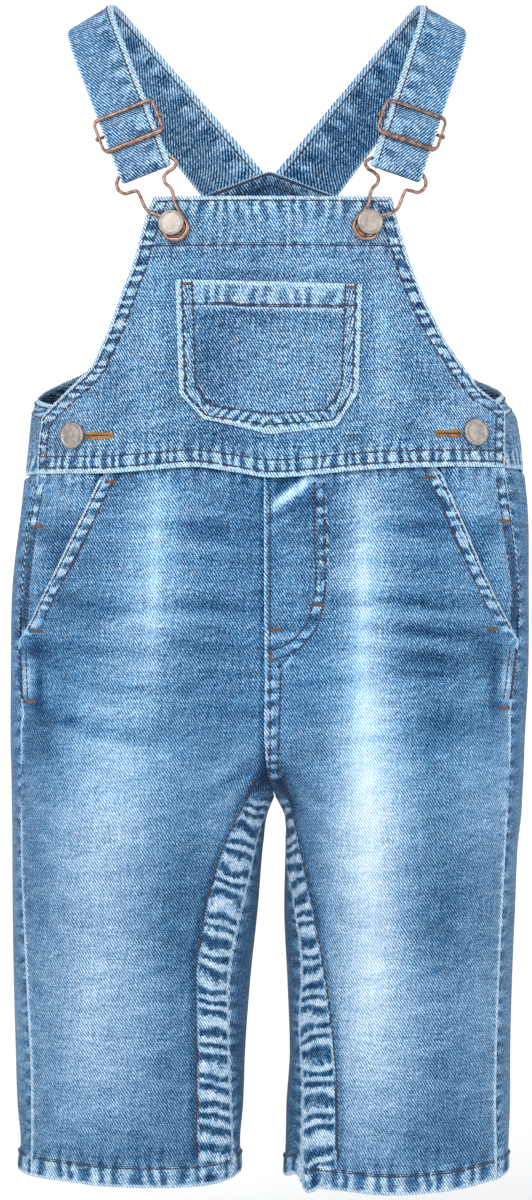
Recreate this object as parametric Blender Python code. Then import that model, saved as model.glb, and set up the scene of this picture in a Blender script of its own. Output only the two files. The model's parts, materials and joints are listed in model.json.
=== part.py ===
"""Kids' bib dungarees in washed denim, filled out as worn: hollow cloth panels and metal trims.

The sizes below are millimetres. X points to the wearer's left, -Y to the front and +Z up. The
origin is at the top of the shoulder straps, in the middle of the garment.
"""
from collections import namedtuple
from math import radians

import bmesh
import bpy
import numpy as np

MM = 0.001
SIDES = {"R": -1, "L": 1}

# Cloth and seams
WALL = 1.4
POCKET_WALL = 1.2
STRAP_WALL = 2.2
GAP = 0.3
LAP = WALL + GAP
FACING_LAP = LAP + 0.5
SIDE_LAP = LAP + 0.5
SEAM_RISE = 0.5
HEM_DEPTH = 10.0
HEM_WALL = 2.3
WAIST_LAP = 5.0
WAIST_TUCK = WALL + 1.1
POCKET_UNDERLAP = 12.0
FOLD_OVER = 1.4
SEAM_BAND_EASE = 1.5
WAIST_HEM = 9.0
WAIST_STEP = 3.0
TUCK_EASE = 2.6
CLOSED_SHARE = 0.07
LAP_TURNS = (-54.0, 101.0)
LAP_EASE = 8.0
UNDERLAP_TURN = 94.0
UNDERLAP_EASE = 20.0

# Where the two legs part
SPLIT_HEIGHT = -368.0
CROTCH_HEIGHT = -413.0
RISE_DROP = SPLIT_HEIGHT - CROTCH_HEIGHT
BODY_POWER = 2.3
LEG_POWER = 2.2
LEG_EASE_TOP = -325.0
LEG_EASE_FOOT = -446.0

# One row per level: the half width and the depths of each side.
Level = namedtuple("Level", "height outer front back")
LEVELS = {
    "R": [
        Level(-640, -130.6, 33.0, 34.0),
        Level(-608, -130.4, 34.0, 35.0),
        Level(-592, -129.3, 36.0, 37.0),
        Level(-574, -130.8, 39.0, 40.0),
        Level(-545, -131.8, 42.5, 43.5),
        Level(-509, -132.8, 46.5, 47.5),
        Level(-470, -133.4, 49.5, 51.0),
        Level(-436, -133.6, 52.0, 54.5),
        Level(-422, -133.7, 53.2, 56.0),
        Level(-413, -133.9, 54.0, 57.0),
        Level(-402, -134.0, 55.0, 58.5),
        Level(-384, -134.5, 56.2, 60.0),
        Level(-350, -134.4, 57.5, 61.0),
        Level(-300, -133.2, 57.0, 58.0),
        Level(-262, -128.7, 55.5, 54.0),
        Level(-249, -127.4, 55.0, 53.0),
        Level(-224, -124.9, 53.5, 52.0),
        Level(-217, -124.2, 53.0, 51.5),
        Level(-208, -121.9, 52.4, 51.0),
        Level(-194, -118.0, 51.5, 50.0),
        Level(-150, -113.0, 48.0, 46.5),
        Level(-106, -109.0, 43.5, 41.5),
        Level(-81, -106.0, 41.0, 39.0),
    ],
    "L": [
        Level(-640, 124.2, 33.0, 34.0),
        Level(-608, 124.0, 34.0, 35.0),
        Level(-592, 124.4, 36.0, 37.0),
        Level(-574, 125.0, 39.0, 40.0),
        Level(-545, 125.1, 42.5, 43.5),
        Level(-509, 126.0, 46.5, 47.5),
        Level(-470, 127.6, 49.5, 51.0),
        Level(-436, 129.2, 52.0, 54.5),
        Level(-422, 130.8, 53.2, 56.0),
        Level(-413, 131.3, 54.0, 57.0),
        Level(-402, 131.9, 55.0, 58.5),
        Level(-384, 132.6, 56.2, 60.0),
        Level(-350, 134.4, 57.5, 61.0),
        Level(-300, 134.7, 57.0, 58.0),
        Level(-262, 133.9, 55.5, 54.0),
        Level(-249, 132.5, 55.0, 53.0),
        Level(-224, 129.9, 53.5, 52.0),
        Level(-217, 128.5, 53.0, 51.5),
        Level(-208, 123.2, 52.4, 51.0),
        Level(-194, 120.0, 51.5, 50.0),
        Level(-150, 114.0, 48.0, 46.5),
        Level(-106, 109.0, 43.5, 41.5),
        Level(-81, 106.0, 41.0, 39.0),
    ],
}

# Seams and edges, as distances from the middle in the front view.
Edge = namedtuple("Edge", "height across")
CENTRE_SEAM = [
    Edge(-413, 2.8), Edge(-404, 0.0), Edge(-390, -2.0), Edge(-350, -2.4), Edge(-81, -2.8),
]
INNER_LEG = {
    "R": [
        Edge(-640, -14.3), Edge(-608, -14.6), Edge(-592, -15.0), Edge(-574, -13.5),
        Edge(-545, -12.4), Edge(-509, -9.8), Edge(-470, -5.7), Edge(-436, -2.8),
        Edge(-422, -0.8), Edge(-413, 2.8),
    ],
    "L": [
        Edge(-640, 6.9), Edge(-608, 7.5), Edge(-592, 8.2), Edge(-574, 8.5), Edge(-545, 10.3),
        Edge(-509, 9.1), Edge(-470, 7.4), Edge(-436, 8.1), Edge(-422, 7.4), Edge(-413, 2.8),
    ],
}
# The inner leg as it would run on past the crotch; it shapes the rest of the leg's section.
LEG_LINE = {
    "R": [
        Edge(-640, -14.3), Edge(-592, -14.6), Edge(-545, -12.4), Edge(-509, -9.6),
        Edge(-470, -6.0), Edge(-436, -3.2), Edge(-405, -1.2), Edge(-360, 0.0), Edge(-81, 0.0),
    ],
    "L": [
        Edge(-640, 6.9), Edge(-592, 8.2), Edge(-545, 9.6), Edge(-509, 9.1), Edge(-470, 8.0),
        Edge(-436, 6.9), Edge(-405, 5.0), Edge(-360, 2.0), Edge(-81, 0.0),
    ],
}
SIDE_SEAM = {
    "R": [
        Edge(-640, -123.6), Edge(-605, -123.2), Edge(-562, -122.7), Edge(-520, -124.4),
        Edge(-444, -127.7), Edge(-375, -128.0), Edge(-331, -129.4), Edge(-300, -127.5),
        Edge(-273, -124.4), Edge(-247, -119.9), Edge(-230, -117.0),
    ],
    "L": [
        Edge(-640, 117.4), Edge(-605, 117.4), Edge(-568, 116.6), Edge(-524, 117.4),
        Edge(-430, 121.6), Edge(-383, 124.0), Edge(-368, 124.7), Edge(-331, 128.4),
        Edge(-306, 129.0), Edge(-293, 127.9), Edge(-270, 124.6), Edge(-247, 121.2),
        Edge(-230, 119.0),
    ],
}
INNER_EDGE = {
    "R": [
        Edge(-640, -19.0), Edge(-597, -19.0), Edge(-530, -20.8), Edge(-500, -20.2),
        Edge(-477, -15.9), Edge(-452, -10.0), Edge(-426, -3.6), Edge(-413, 2.8),
    ],
    "L": [
        Edge(-640, 16.4), Edge(-606, 16.4), Edge(-564, 16.9), Edge(-528, 15.2),
        Edge(-501, 16.4), Edge(-468, 12.5), Edge(-448, 9.1), Edge(-426, 8.2), Edge(-413, 2.8),
    ],
}
STRIP_STITCH = {
    "R": [
        Edge(-640, -37.7), Edge(-606, -37.6), Edge(-562, -37.2), Edge(-501, -37.5),
        Edge(-486, -35.6), Edge(-457, -30.0), Edge(-427, -19.1), Edge(-410, -10.2),
        Edge(-398, -6.0), Edge(-230, -6.0),
    ],
    "L": [
        Edge(-640, 34.6), Edge(-603, 34.6), Edge(-554, 33.9), Edge(-512, 29.6),
        Edge(-482, 24.7), Edge(-452, 18.7), Edge(-424, 12.7), Edge(-400, 7.0),
        Edge(-350, 5.0), Edge(-338, 12.0), Edge(-327, 20.0), Edge(-312, 25.0),
        Edge(-230, 25.2),
    ],
}
POCKET_MOUTH = {
    "R": [
        Edge(-331, -128.8), Edge(-325, -124.7), Edge(-311, -117.5), Edge(-290, -106.9),
        Edge(-269, -96.5), Edge(-247, -86.0), Edge(-230, -78.0),
    ],
    "L": [
        Edge(-331, 127.8), Edge(-325, 124.5), Edge(-311, 116.6), Edge(-289, 106.3),
        Edge(-268, 96.5), Edge(-247, 86.4), Edge(-230, 78.0),
    ],
}
POCKET_FOOT = -331.0
HIP_ROWS = (-262, -280, -300, -317, POCKET_FOOT, -340, -348, -358)
FACING_TOP = -246.5
FACING_TUCK = -251.0

# The waist seam rises and dips across the front.
Waist = namedtuple("Waist", "across height")
WAIST_MIDDLE = -246.0
WAIST_LINE = [
    Waist(-135, -246.0), Waist(-86, -246.6), Waist(-60, -245.0), Waist(-39, -243.6),
    Waist(-17, -246.4), Waist(0, -249.0), Waist(8, -248.8), Waist(26, -247.2),
    Waist(46, -245.2), Waist(87, -243.2), Waist(121, -243.0), Waist(135, -243.4),
]

# The hems: their level and how far each drops from it, from the inner leg outward.
HEM_FOOT = {"R": -607.8, "L": -610.8}
HEM_BACK_DIP = 1.6
Hem = namedtuple("Hem", "across drop")
HEM_LINE = {
    "R": [
        Hem(14.5, 0.8), Hem(20.3, -1.7), Hem(26.4, -3.0), Hem(38.6, -3.9), Hem(51, -4.0),
        Hem(69, -3.7), Hem(88, -2.9), Hem(100, -1.5), Hem(113, -0.5), Hem(126, 0.7),
        Hem(130.4, 1.8),
    ],
    "L": [
        Hem(7.8, 1.5), Hem(15.6, 1.3), Hem(17.0, -2.2), Hem(25.9, -2.4), Hem(38, -2.9),
        Hem(50.3, -4.2), Hem(62.6, -4.6), Hem(81, -3.8), Hem(99.6, -1.8), Hem(112, 0.5),
        Hem(118.7, 1.5), Hem(124, 4.0),
    ],
}

# Front bib: where its edges run, top to bottom.
BIB_EDGE = {
    "R": [
        Edge(-250, -119.4), Edge(-232, -118.9), Edge(-221, -117.6), Edge(-216, -116.6),
        Edge(-212.6, -113.3), Edge(-208, -108.4), Edge(-198.7, -98.5), Edge(-193, -92.2),
        Edge(-183, -86.7), Edge(-172, -82.0), Edge(-154, -75.4), Edge(-137, -69.0),
        Edge(-127, -66.4), Edge(-115, -62.8), Edge(-105, -59.1),
    ],
    "L": [
        Edge(-250, 121.0), Edge(-229, 121.1), Edge(-219, 121.3), Edge(-214, 121.0),
        Edge(-210.6, 118.2), Edge(-203, 108.1), Edge(-197, 103.6), Edge(-188, 96.6),
        Edge(-180, 91.0), Edge(-170, 85.4), Edge(-154, 77.6), Edge(-137, 71.2),
        Edge(-127, 68.0), Edge(-115, 64.6), Edge(-105, 62.3),
    ],
}
BIB_TOP = -105.4
BIB_BAND = 26.0
BIB_ROWS = [
    -246, -238, -228, -220, -215, -211, -206, -200, -193, -184, -173, -160, -146, -132, -119,
    -112, -105.4,
]

# Back bib: how far round its edge reaches, in degrees from the middle of the front.
Reach = namedtuple("Reach", "height turn")
BACK_REACH = {
    "R": [
        Reach(-250, 52), Reach(-215, 52), Reach(-211.5, 56), Reach(-209, 72), Reach(-206, 90),
        Reach(-200.2, 107), Reach(-194, 121), Reach(-180, 136), Reach(-160, 146),
        Reach(-135, 152), Reach(-115, 154.5), Reach(-98, 156), Reach(-80, 157),
    ],
    "L": [
        Reach(-250, 52), Reach(-214, 52), Reach(-210.5, 56), Reach(-207.5, 72),
        Reach(-203.5, 90), Reach(-199, 107), Reach(-193.3, 121), Reach(-180, 136),
        Reach(-160, 146), Reach(-135, 152), Reach(-115, 154.5), Reach(-98, 156),
        Reach(-80, 157),
    ],
}
BACK_ROWS = [
    -246, -232, -214.5, -211.5, -209.3, -207, -205, -202.5, -199.5, -194, -186, -172, -155,
    -137, -118, -108, -101,
]
BACK_PEAK = 15.0
PEAK_HALF = 40.0
PEAK_FOOT = -130.0
PEAK_EASE = 29.0

# Peaked facing inside the back neck
FACING_HALF = 36.0
FACING_ROWS = (-112, -106, -100, -98.4)
FACING_DEPTH = 2.6

# Patch pocket on the bib
PATCH_TOP = -149.6
PATCH_TOP_TILT = -0.026
PATCH_HALF_TOP = 47.2
PATCH_HALF_FOOT = 45.2
PATCH_MIDDLE = -0.4
PATCH_FOOT = [
    Waist(-1.0, -205.0), Waist(-0.93, -210.5), Waist(-0.74, -219.8), Waist(-0.66, -221.4),
    Waist(0.0, -225.2), Waist(0.66, -223.6), Waist(0.76, -221.6), Waist(0.93, -210.5),
    Waist(1.0, -204.4),
]
PATCH_HEM = 0.162
PATCH_HEM_EASE = 0.02

# Folds that the cloth keeps: place, half length, lean, half width and depth.
Fold = namedtuple("Fold", "side turn height reach lean width depth")
FOLDS = [
    Fold("R", 42, -372, 24, -24, 6.0, -1.5),
    Fold("R", 50, -384, 20, -30, 7.0, 0.9),
    Fold("L", 40, -369, 18, 22, 6.0, -1.0),
    Fold("R", 118, -372, 26, 10, 8.0, 0.7),
    Fold("L", 122, -362, 24, -12, 8.0, 0.7),
    Fold("R", 96, -520, 30, 4, 12.0, 0.8),
    Fold("L", 100, -505, 28, -6, 12.0, 0.8),
    Fold("R", -95, -396, 34, -12, 8.0, -2.2),
    Fold("L", -90, -392, 36, 10, 8.0, -2.0),
    Fold("R", -110, -418, 30, -20, 9.0, 1.8),
    Fold("L", -112, -414, 28, 18, 9.0, 1.6),
    Fold("R", -84, -498, 32, 6, 9.0, -2.4),
    Fold("L", -98, -492, 30, -8, 8.0, -2.1),
    Fold("R", -100, -514, 28, -4, 9.0, 1.7),
    Fold("L", -86, -509, 32, 7, 9.0, 1.9),
    Fold("R", -80, -574, 24, 9, 8.0, -1.3),
    Fold("L", -92, -568, 26, -6, 8.0, -1.5),
]

# Shoulder straps: a flat band laid over a rounded ridge and run down to front and back.
Strap = namedtuple("Strap", "across tilt front_cross back_cross front_run back_run slider")
STRAPS = {
    "R": Strap(-92.8, 31.3, 79.8, 81.0, 102.6, 126.8, 79.6),
    "L": Strap(89.9, 30.0, 78.6, 81.0, 101.1, 125.2, 78.0),
}
STRAP_TOP = -1.1
FRONT_LEAN = 14.0
BACK_LEAN = 9.0
CROSS_BLEND = 30.0
RIDGE_RADIUS = 26.0
STRAP_HALF = 13.4
STRAP_HALF_BACK = 16.8
STRAP_CUT = 21.0
STRAP_SETTLE = 30.0
RIDGE_RUN = 44.0
FRONT_START = 50.0
BEND_REACH = 4.8
BEND_OVER = 2.3
BEND_BEHIND_TOP = 1.25
BEND_BEHIND_FOOT = 1.55
RETURN_STEP = 1.2
SETTLE_END = 6.0
HOOK_WIRE = 0.88

# Slider frame and bar
FRAME_HALF_WIDTH = 16.1
FRAME_HALF_HEIGHT = 8.9
FRAME_CORNER = 3.0
FRAME_TOP_WIRE = 1.0
FRAME_FOOT_WIRE = 1.4
FRAME_SIDE_WIRE = 0.75
BAR_WIRE = 0.8
KNOB = 1.25
FRAME_LIFT = 1.6
BAR_LIFT = FRAME_LIFT - FRAME_SIDE_WIRE - GAP - BAR_WIRE

# Buttons
Button = namedtuple("Button", "across height")
BIB_BUTTONS = {"R": Button(-49.2, -119.9), "L": Button(50.3, -119.4)}
SIDE_BUTTONS = {"R": Button(-99.8, -227.2), "L": Button(104.4, -225.6)}
CAP_RADIUS = 6.7
SHANK = 1.3
COLLAR = 0.8
CAP_PROFILE = [(-0.4, 0.0), (0.0, 0.5), (-0.2, 1.5), (-1.2, 1.9), (-2.0, 1.7), (-4.3, 1.9)]
SIDE_CAP_RADIUS = 6.9
SIDE_CAP_LIFT = 1.2
SIDE_SHANK = 3.0
# Hook arms, from the strap's folded foot: distance inward and up along the strap.
Arm = namedtuple("Arm", "inward up")
FOLD_RADIUS = HOOK_WIRE + GAP + 0.2 + STRAP_WALL / 2
FOLD_REACH = FOLD_RADIUS + STRAP_WALL / 2
OUTER_ARM = [
    Arm(-14.6, FOLD_REACH), Arm(-16.3, 0.8), Arm(-16.2, -2.6), Arm(-14.0, -5.2), Arm(-10.4, -5.6),
    Arm(-8.0, -6.2), Arm(-7.2, -9.4), Arm(-7.1, -13.0), Arm(-6.6, -17.0),
]
INNER_ARM = [
    Arm(8.2, -18.2), Arm(8.9, -14.6), Arm(8.6, -11.0), Arm(7.2, -7.8), Arm(7.6, -4.8),
    Arm(10.4, -2.9), Arm(14.2, -1.9), Arm(16.2, 0.4), Arm(14.6, FOLD_REACH),
]
HOOK_ARMS = OUTER_ARM + INNER_ARM
LOOP_RADIUS = 6.3
LOOP_WIRE = 1.2
LOOP_SHIFT = (1.7, -2.1)


def hermite(table, where, column):
    """Smooth curve through a table's column, read at `where` along its first column."""
    rows = sorted(table, key=lambda row: row[0])
    xs = np.array([row[0] for row in rows], float)
    ys = np.array([getattr(row, column) for row in rows], float)
    slopes = np.gradient(ys, xs)
    steps = np.diff(ys) / np.diff(xs)
    for k in range(1, len(xs) - 1):
        if steps[k - 1] * steps[k] <= 0:
            slopes[k] = 0.0
    x = np.clip(np.asarray(where, float), xs[0], xs[-1])
    k = np.clip(np.searchsorted(xs, x, side="right") - 1, 0, len(xs) - 2)
    span = xs[k + 1] - xs[k]
    t = (x - xs[k]) / span
    start = (1 + 2 * t) * (1 - t) ** 2 * ys[k] + t * (1 - t) ** 2 * span * slopes[k]
    end = t * t * (3 - 2 * t) * ys[k + 1] + t * t * (t - 1) * span * slopes[k + 1]
    return start + end


def smooth(x):
    """Ease from 0 to 1."""
    t = np.clip(x, 0.0, 1.0)
    return t * t * (3 - 2 * t)


def power(value, exponent):
    """Signed power, for rounded-square sections."""
    return np.sign(value) * np.abs(value) ** exponent


def unit(vectors):
    """Vectors at length 1."""
    return vectors / np.linalg.norm(vectors, axis=-1, keepdims=True)


def trunk(turn, height):
    """Point on the trunk's outline; turn is 0 at the front, 90 at the wearer's left, 180 behind."""
    angle = np.radians(turn)
    wide = np.where(
        np.sin(angle) < 0,
        -hermite(LEVELS["R"], height, "outer"),
        hermite(LEVELS["L"], height, "outer"),
    )
    front = hermite(LEVELS["L"], height, "front")
    back = hermite(LEVELS["L"], height, "back")
    x = wide * power(np.sin(angle), 2 / BODY_POWER)
    depth = np.where(np.cos(angle) > 0, front, back)
    y = -depth * power(np.cos(angle), 2 / BODY_POWER)
    return np.stack([x, y, np.broadcast_to(height, x.shape)], axis=-1)


def trunk_turn(across, height):
    """The front turn at which the trunk's outline stands at `across`."""
    wide = np.where(
        np.asarray(across) < 0,
        -hermite(LEVELS["R"], height, "outer"),
        hermite(LEVELS["L"], height, "outer"),
    )
    share = np.clip(np.abs(across) / wide, 0.0, 1.0)
    return np.sign(across) * np.degrees(np.arcsin(share ** (BODY_POWER / 2)))


def leg_share(turn, height):
    """0 on the trunk, 1 on the legs: a quarter ellipse along the rise, a long ease outside."""
    t = np.clip((SPLIT_HEIGHT - height) / RISE_DROP, 0.0, 1.0)
    rise = 1 - np.sqrt(1 - t * t)
    ease = smooth((LEG_EASE_TOP - height) / (LEG_EASE_TOP - LEG_EASE_FOOT))
    near = smooth((np.abs(turn) - 118) / 58)
    return ease * (1 - near) + rise * near


def fold_height(side, turn, height):
    """Rise or fall of the cloth from the folds kept in it."""
    total = np.zeros(np.broadcast(turn, height).shape)
    for fold in FOLDS:
        if fold.side != side:
            continue
        along = np.asarray(turn) - fold.turn
        up = np.asarray(height) - fold.height
        lean = radians(fold.lean)
        run = along * np.cos(lean) + up * np.sin(lean)
        cross = up * np.cos(lean) - along * np.sin(lean)
        bump = np.exp(-((run / fold.reach) ** 2) - (cross / fold.width) ** 2)
        total = total + fold.depth * bump
    return total


def inner_side(side, height):
    """Where a half ends toward the middle: the centre seam, then the inner leg."""
    seam = hermite(CENTRE_SEAM, height, "across")
    leg = hermite(INNER_LEG[side], height, "across")
    return np.where(height >= CROTCH_HEIGHT, seam, leg) + SIDES[side] * GAP * 0.7


def half_form(side, turn, height):
    """Point on one half: turn is 0 at the outer side, 90 in front, 180 inside, -90 behind."""
    sign = SIDES[side]
    turn = np.asarray(turn, float)
    height = np.asarray(height, float)
    inner = inner_side(side, height)
    seam_turn = trunk_turn(inner, height)
    way = np.abs(turn) / 180
    front_turn = sign * 90 * (1 - way) + seam_turn * way
    back_turn = sign * 90 * (1 + way) - seam_turn * way
    body = trunk(np.where(turn > 0, front_turn, back_turn), height)
    outer = hermite(LEVELS[side], height, "outer")
    front = hermite(LEVELS[side], height, "front")
    back = hermite(LEVELS[side], height, "back")
    angle = np.radians(turn)
    line = hermite(LEG_LINE[side], height, "across")
    leg_x = (outer + line) / 2 + (outer - line) / 2 * power(np.cos(angle), 2 / LEG_POWER)
    leg_x = leg_x + (inner - line) * smooth((np.abs(turn) - 115) / 65)
    leg_y = -np.where(np.sin(angle) > 0, front, back) * power(np.sin(angle), 2 / LEG_POWER)
    leg = np.stack([leg_x, leg_y, np.broadcast_to(height, leg_x.shape)], axis=-1)
    share = leg_share(turn, height)[..., None]
    return body * (1 - share) + leg * share


def rise_step(height, step):
    """Height one step further down, in steps that stay even round the rise."""
    quarter = np.pi / 2
    inside = np.clip((SPLIT_HEIGHT - height) / RISE_DROP, 0.0, 1.0)
    place = np.where(
        height >= SPLIT_HEIGHT,
        (SPLIT_HEIGHT - height) / RISE_DROP,
        np.where(
            height <= CROTCH_HEIGHT - 0.01,
            quarter + (CROTCH_HEIGHT - height) / RISE_DROP,
            np.minimum(np.arcsin(inside), quarter - 0.12),
        ),
    )
    moved = place + step
    return np.where(
        moved < 0,
        SPLIT_HEIGHT - moved * RISE_DROP,
        np.where(
            moved > quarter,
            CROTCH_HEIGHT - (moved - quarter) * RISE_DROP,
            SPLIT_HEIGHT - RISE_DROP * np.sin(np.clip(moved, 0, quarter)),
        ),
    )


def half_normal(side, turn, height):
    """Outward direction on one half."""
    turn = np.asarray(turn, float)
    height = np.asarray(height, float)
    base = rise_step(height, 0.0)
    lower = rise_step(base, 0.06)
    upper = rise_step(base, -0.06)
    down = half_form(side, turn, lower) - half_form(side, turn, upper)
    round_it = half_form(side, turn + 0.5, base) - half_form(side, turn - 0.5, base)
    return unit(np.cross(down, round_it) * -SIDES[side])


def hem_drop(side, turn, across):
    """How the hem dips across the front and, less, behind."""
    front = hermite(HEM_LINE[side], across * SIDES[side], "drop")
    inner = HEM_LINE[side][0].drop
    outer = HEM_LINE[side][-1].drop
    way = np.abs(turn) / 180
    behind = outer * (1 - way) + inner * way - HEM_BACK_DIP * np.sin(np.radians(turn)) ** 2
    return np.where(turn > 0, front, behind)


def half_points(side, turn, height, lift):
    """Points on one half, folded and lifted outward by `lift`."""
    waist = hermite(WAIST_LINE, half_form(side, turn, height)[..., 0], "height") - WAIST_MIDDLE
    dip = waist * smooth((height + 300) / 50)
    points = half_form(side, turn, height)
    hem = hem_drop(side, turn, points[..., 0]) * smooth((-570 - height) / 36)
    points[..., 2] += np.where(turn > 0, dip, 0) + hem
    rise = fold_height(side, turn, height) + lift
    return points + half_normal(side, turn, height) * rise[..., None]


def turn_at(side, height, across, low, high):
    """Turn between `low` and `high` at which the half stands `across` from the middle."""
    turns = np.linspace(low, high, 181)
    result = []
    for level, target in zip(height, across):
        x = half_form(side, turns, np.full(turns.shape, level))[:, 0] * SIDES[side]
        result.append(np.interp(-target * SIDES[side], -x, turns))
    return np.array(result)


def shift_turn(side, height, turn, distance):
    """The turn moved by a distance measured round the half, in millimetres."""
    ahead = half_form(side, turn + 0.5, height)
    behind = half_form(side, turn - 0.5, height)
    per_degree = np.linalg.norm(ahead - behind, axis=-1)
    return turn + distance / np.maximum(per_degree, 0.2)


def solid(name, outer, inner, material):
    """Closed cloth piece between two grids of points."""
    rows, columns = outer.shape[:2]
    points = np.concatenate([outer.reshape(-1, 3), inner.reshape(-1, 3)]) * MM
    faces = []
    back = rows * columns
    for j in range(rows - 1):
        for i in range(columns - 1):
            a = j * columns + i
            b = a + 1
            c = a + columns + 1
            d = a + columns
            if np.linalg.norm(points[a] - points[c]) < np.linalg.norm(points[b] - points[d]):
                halves = ((a, b, c), (a, c, d))
            else:
                halves = ((a, b, d), (b, c, d))
            for face in halves:
                faces.append(face)
                faces.append(tuple(back + corner for corner in reversed(face)))
    rim = [(0, i) for i in range(columns)]
    rim += [(j, columns - 1) for j in range(1, rows)]
    rim += [(rows - 1, i) for i in range(columns - 2, -1, -1)]
    rim += [(j, 0) for j in range(rows - 2, 0, -1)]
    loop = [j * columns + i for j, i in rim]
    for a, b in zip(loop, loop[1:] + loop[:1]):
        faces.append((b, a, back + a, back + b))
    return add_object(name, points, faces, material)


def add_object(name, points, faces, material):
    """Mesh object with its faces turned outward."""
    mesh = bpy.data.meshes.new(name)
    mesh.from_pydata([tuple(point) for point in points], [], faces)
    work = bmesh.new()
    work.from_mesh(mesh)
    bmesh.ops.recalc_face_normals(work, faces=work.faces)
    work.to_mesh(mesh)
    work.free()
    mesh.materials.append(material)
    mesh.shade_smooth()
    mesh.set_sharp_from_angle(angle=radians(50))
    thing = bpy.data.objects.new(name, mesh)
    bpy.context.scene.collection.objects.link(thing)
    return thing


def tube(name, path, radii, sides, material, closed):
    """Round wire along a path; open ends are capped."""
    path = np.asarray(path, float)
    count = len(path)
    if closed:
        ahead = np.roll(path, -1, axis=0) - np.roll(path, 1, axis=0)
    else:
        ahead = np.gradient(path, axis=0)
    ahead = unit(ahead)
    frame = np.cross(ahead[0], (0.0, 1.0, 0.0))
    points = []
    for k in range(count):
        frame = frame - ahead[k] * np.dot(frame, ahead[k])
        frame = frame / np.linalg.norm(frame)
        cross = np.cross(ahead[k], frame)
        for i in range(sides):
            angle = 2 * np.pi * i / sides
            ray = frame * np.cos(angle) + cross * np.sin(angle)
            points.append(path[k] + ray * radii[k])
    faces = []
    links = count if closed else count - 1
    for k in range(links):
        for i in range(sides):
            a = k * sides + i
            b = k * sides + (i + 1) % sides
            c = (k + 1) % count * sides
            faces.append((a, b, c + (i + 1) % sides, c + i))
    if not closed:
        faces.append(tuple(range(sides)))
        faces.append(tuple(range((count - 1) * sides, count * sides)))
    return add_object(name, np.array(points) * MM, faces, material)


def turned(name, profile, base, axis, sides, material):
    """Turned piece: radius and distance pairs along an axis, with its first and last closed."""
    axis = unit(np.asarray(axis, float))
    side_way = unit(np.cross(axis, (0.0, 0.0, 1.0)))
    up_way = np.cross(side_way, axis)
    angles = np.linspace(0, 2 * np.pi, sides, endpoint=False)
    points = []
    for radius, distance in profile:
        for angle in angles:
            ray = side_way * np.cos(angle) + up_way * np.sin(angle)
            points.append(base + axis * distance + ray * radius)
    faces = [tuple(range(sides)), tuple(range((len(profile) - 1) * sides, len(profile) * sides))]
    for k in range(len(profile) - 1):
        for i in range(sides):
            a = k * sides + i
            b = k * sides + (i + 1) % sides
            faces.append((a, b, b + sides, a + sides))
    return add_object(name, np.array(points) * MM, faces, material)


def finish(name, colour, roughness, metallic):
    """Plain surface of one colour."""
    material = bpy.data.materials.new(name)
    material.use_nodes = True
    shader = material.node_tree.nodes["Principled BSDF"]
    shader.inputs["Base Color"].default_value = (*colour, 1.0)
    shader.inputs["Roughness"].default_value = roughness
    shader.inputs["Metallic"].default_value = metallic
    return material


def leg_rows(foot):
    """Heights of a leg panel's rows: close together at the waist, the rise and the hem."""
    waist = [WAIST_MIDDLE + WAIST_LAP, WAIST_MIDDLE - 0.4, WAIST_MIDDLE - WAIST_STEP]
    hip = [*HIP_ROWS, SPLIT_HEIGHT]
    rise = [SPLIT_HEIGHT - RISE_DROP * np.sin(radians(q)) for q in (24, 42, 58, 71)]
    thigh = [CROTCH_HEIGHT, -421, -433, -448]
    shin = list(np.linspace(-466, foot + HEM_DEPTH + 1.5, 8))
    return np.array(waist + hip + rise + thigh + shin + [foot + HEM_DEPTH, foot], float)


def lap_share(turn):
    """1 where a leg panel runs up under the bib, 0 behind the side openings."""
    behind, inside = LAP_TURNS
    return 1 - smooth((inside - turn) / LAP_EASE) * smooth((turn - behind) / LAP_EASE)


def waist_tuck(height):
    """How far a leg panel dives below the bib's lapped edge at the waist."""
    return -WAIST_TUCK * smooth((height - (WAIST_MIDDLE - WAIST_STEP)) / TUCK_EASE)


def leg_levels(turn, heights):
    """Heights of a leg panel's grid; the top rows close up where nothing laps over them."""
    levels = np.broadcast_to(heights[:, None], turn.shape)
    top = WAIST_MIDDLE - 0.8
    closed = top + np.maximum(levels - top, 0) * CLOSED_SHARE
    lapped = lap_share(turn)
    return np.where(levels > top, levels * lapped + closed * (1 - lapped), levels)


def hem_fold(height, foot):
    """1 where the hem is folded double."""
    return smooth((foot + HEM_DEPTH + FOLD_OVER - height) / FOLD_OVER)


def hem_wall(height, foot):
    """Cloth thickness: doubled at the hem."""
    return WALL + (HEM_WALL - WALL) * hem_fold(height, foot)


def inseam_gap(height):
    """Half the gap along the inner leg; wider at the crotch, where the walls lean together."""
    return GAP / 2 + 0.2 * np.exp(-(((height - CROTCH_HEIGHT) / 20) ** 2))


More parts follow.
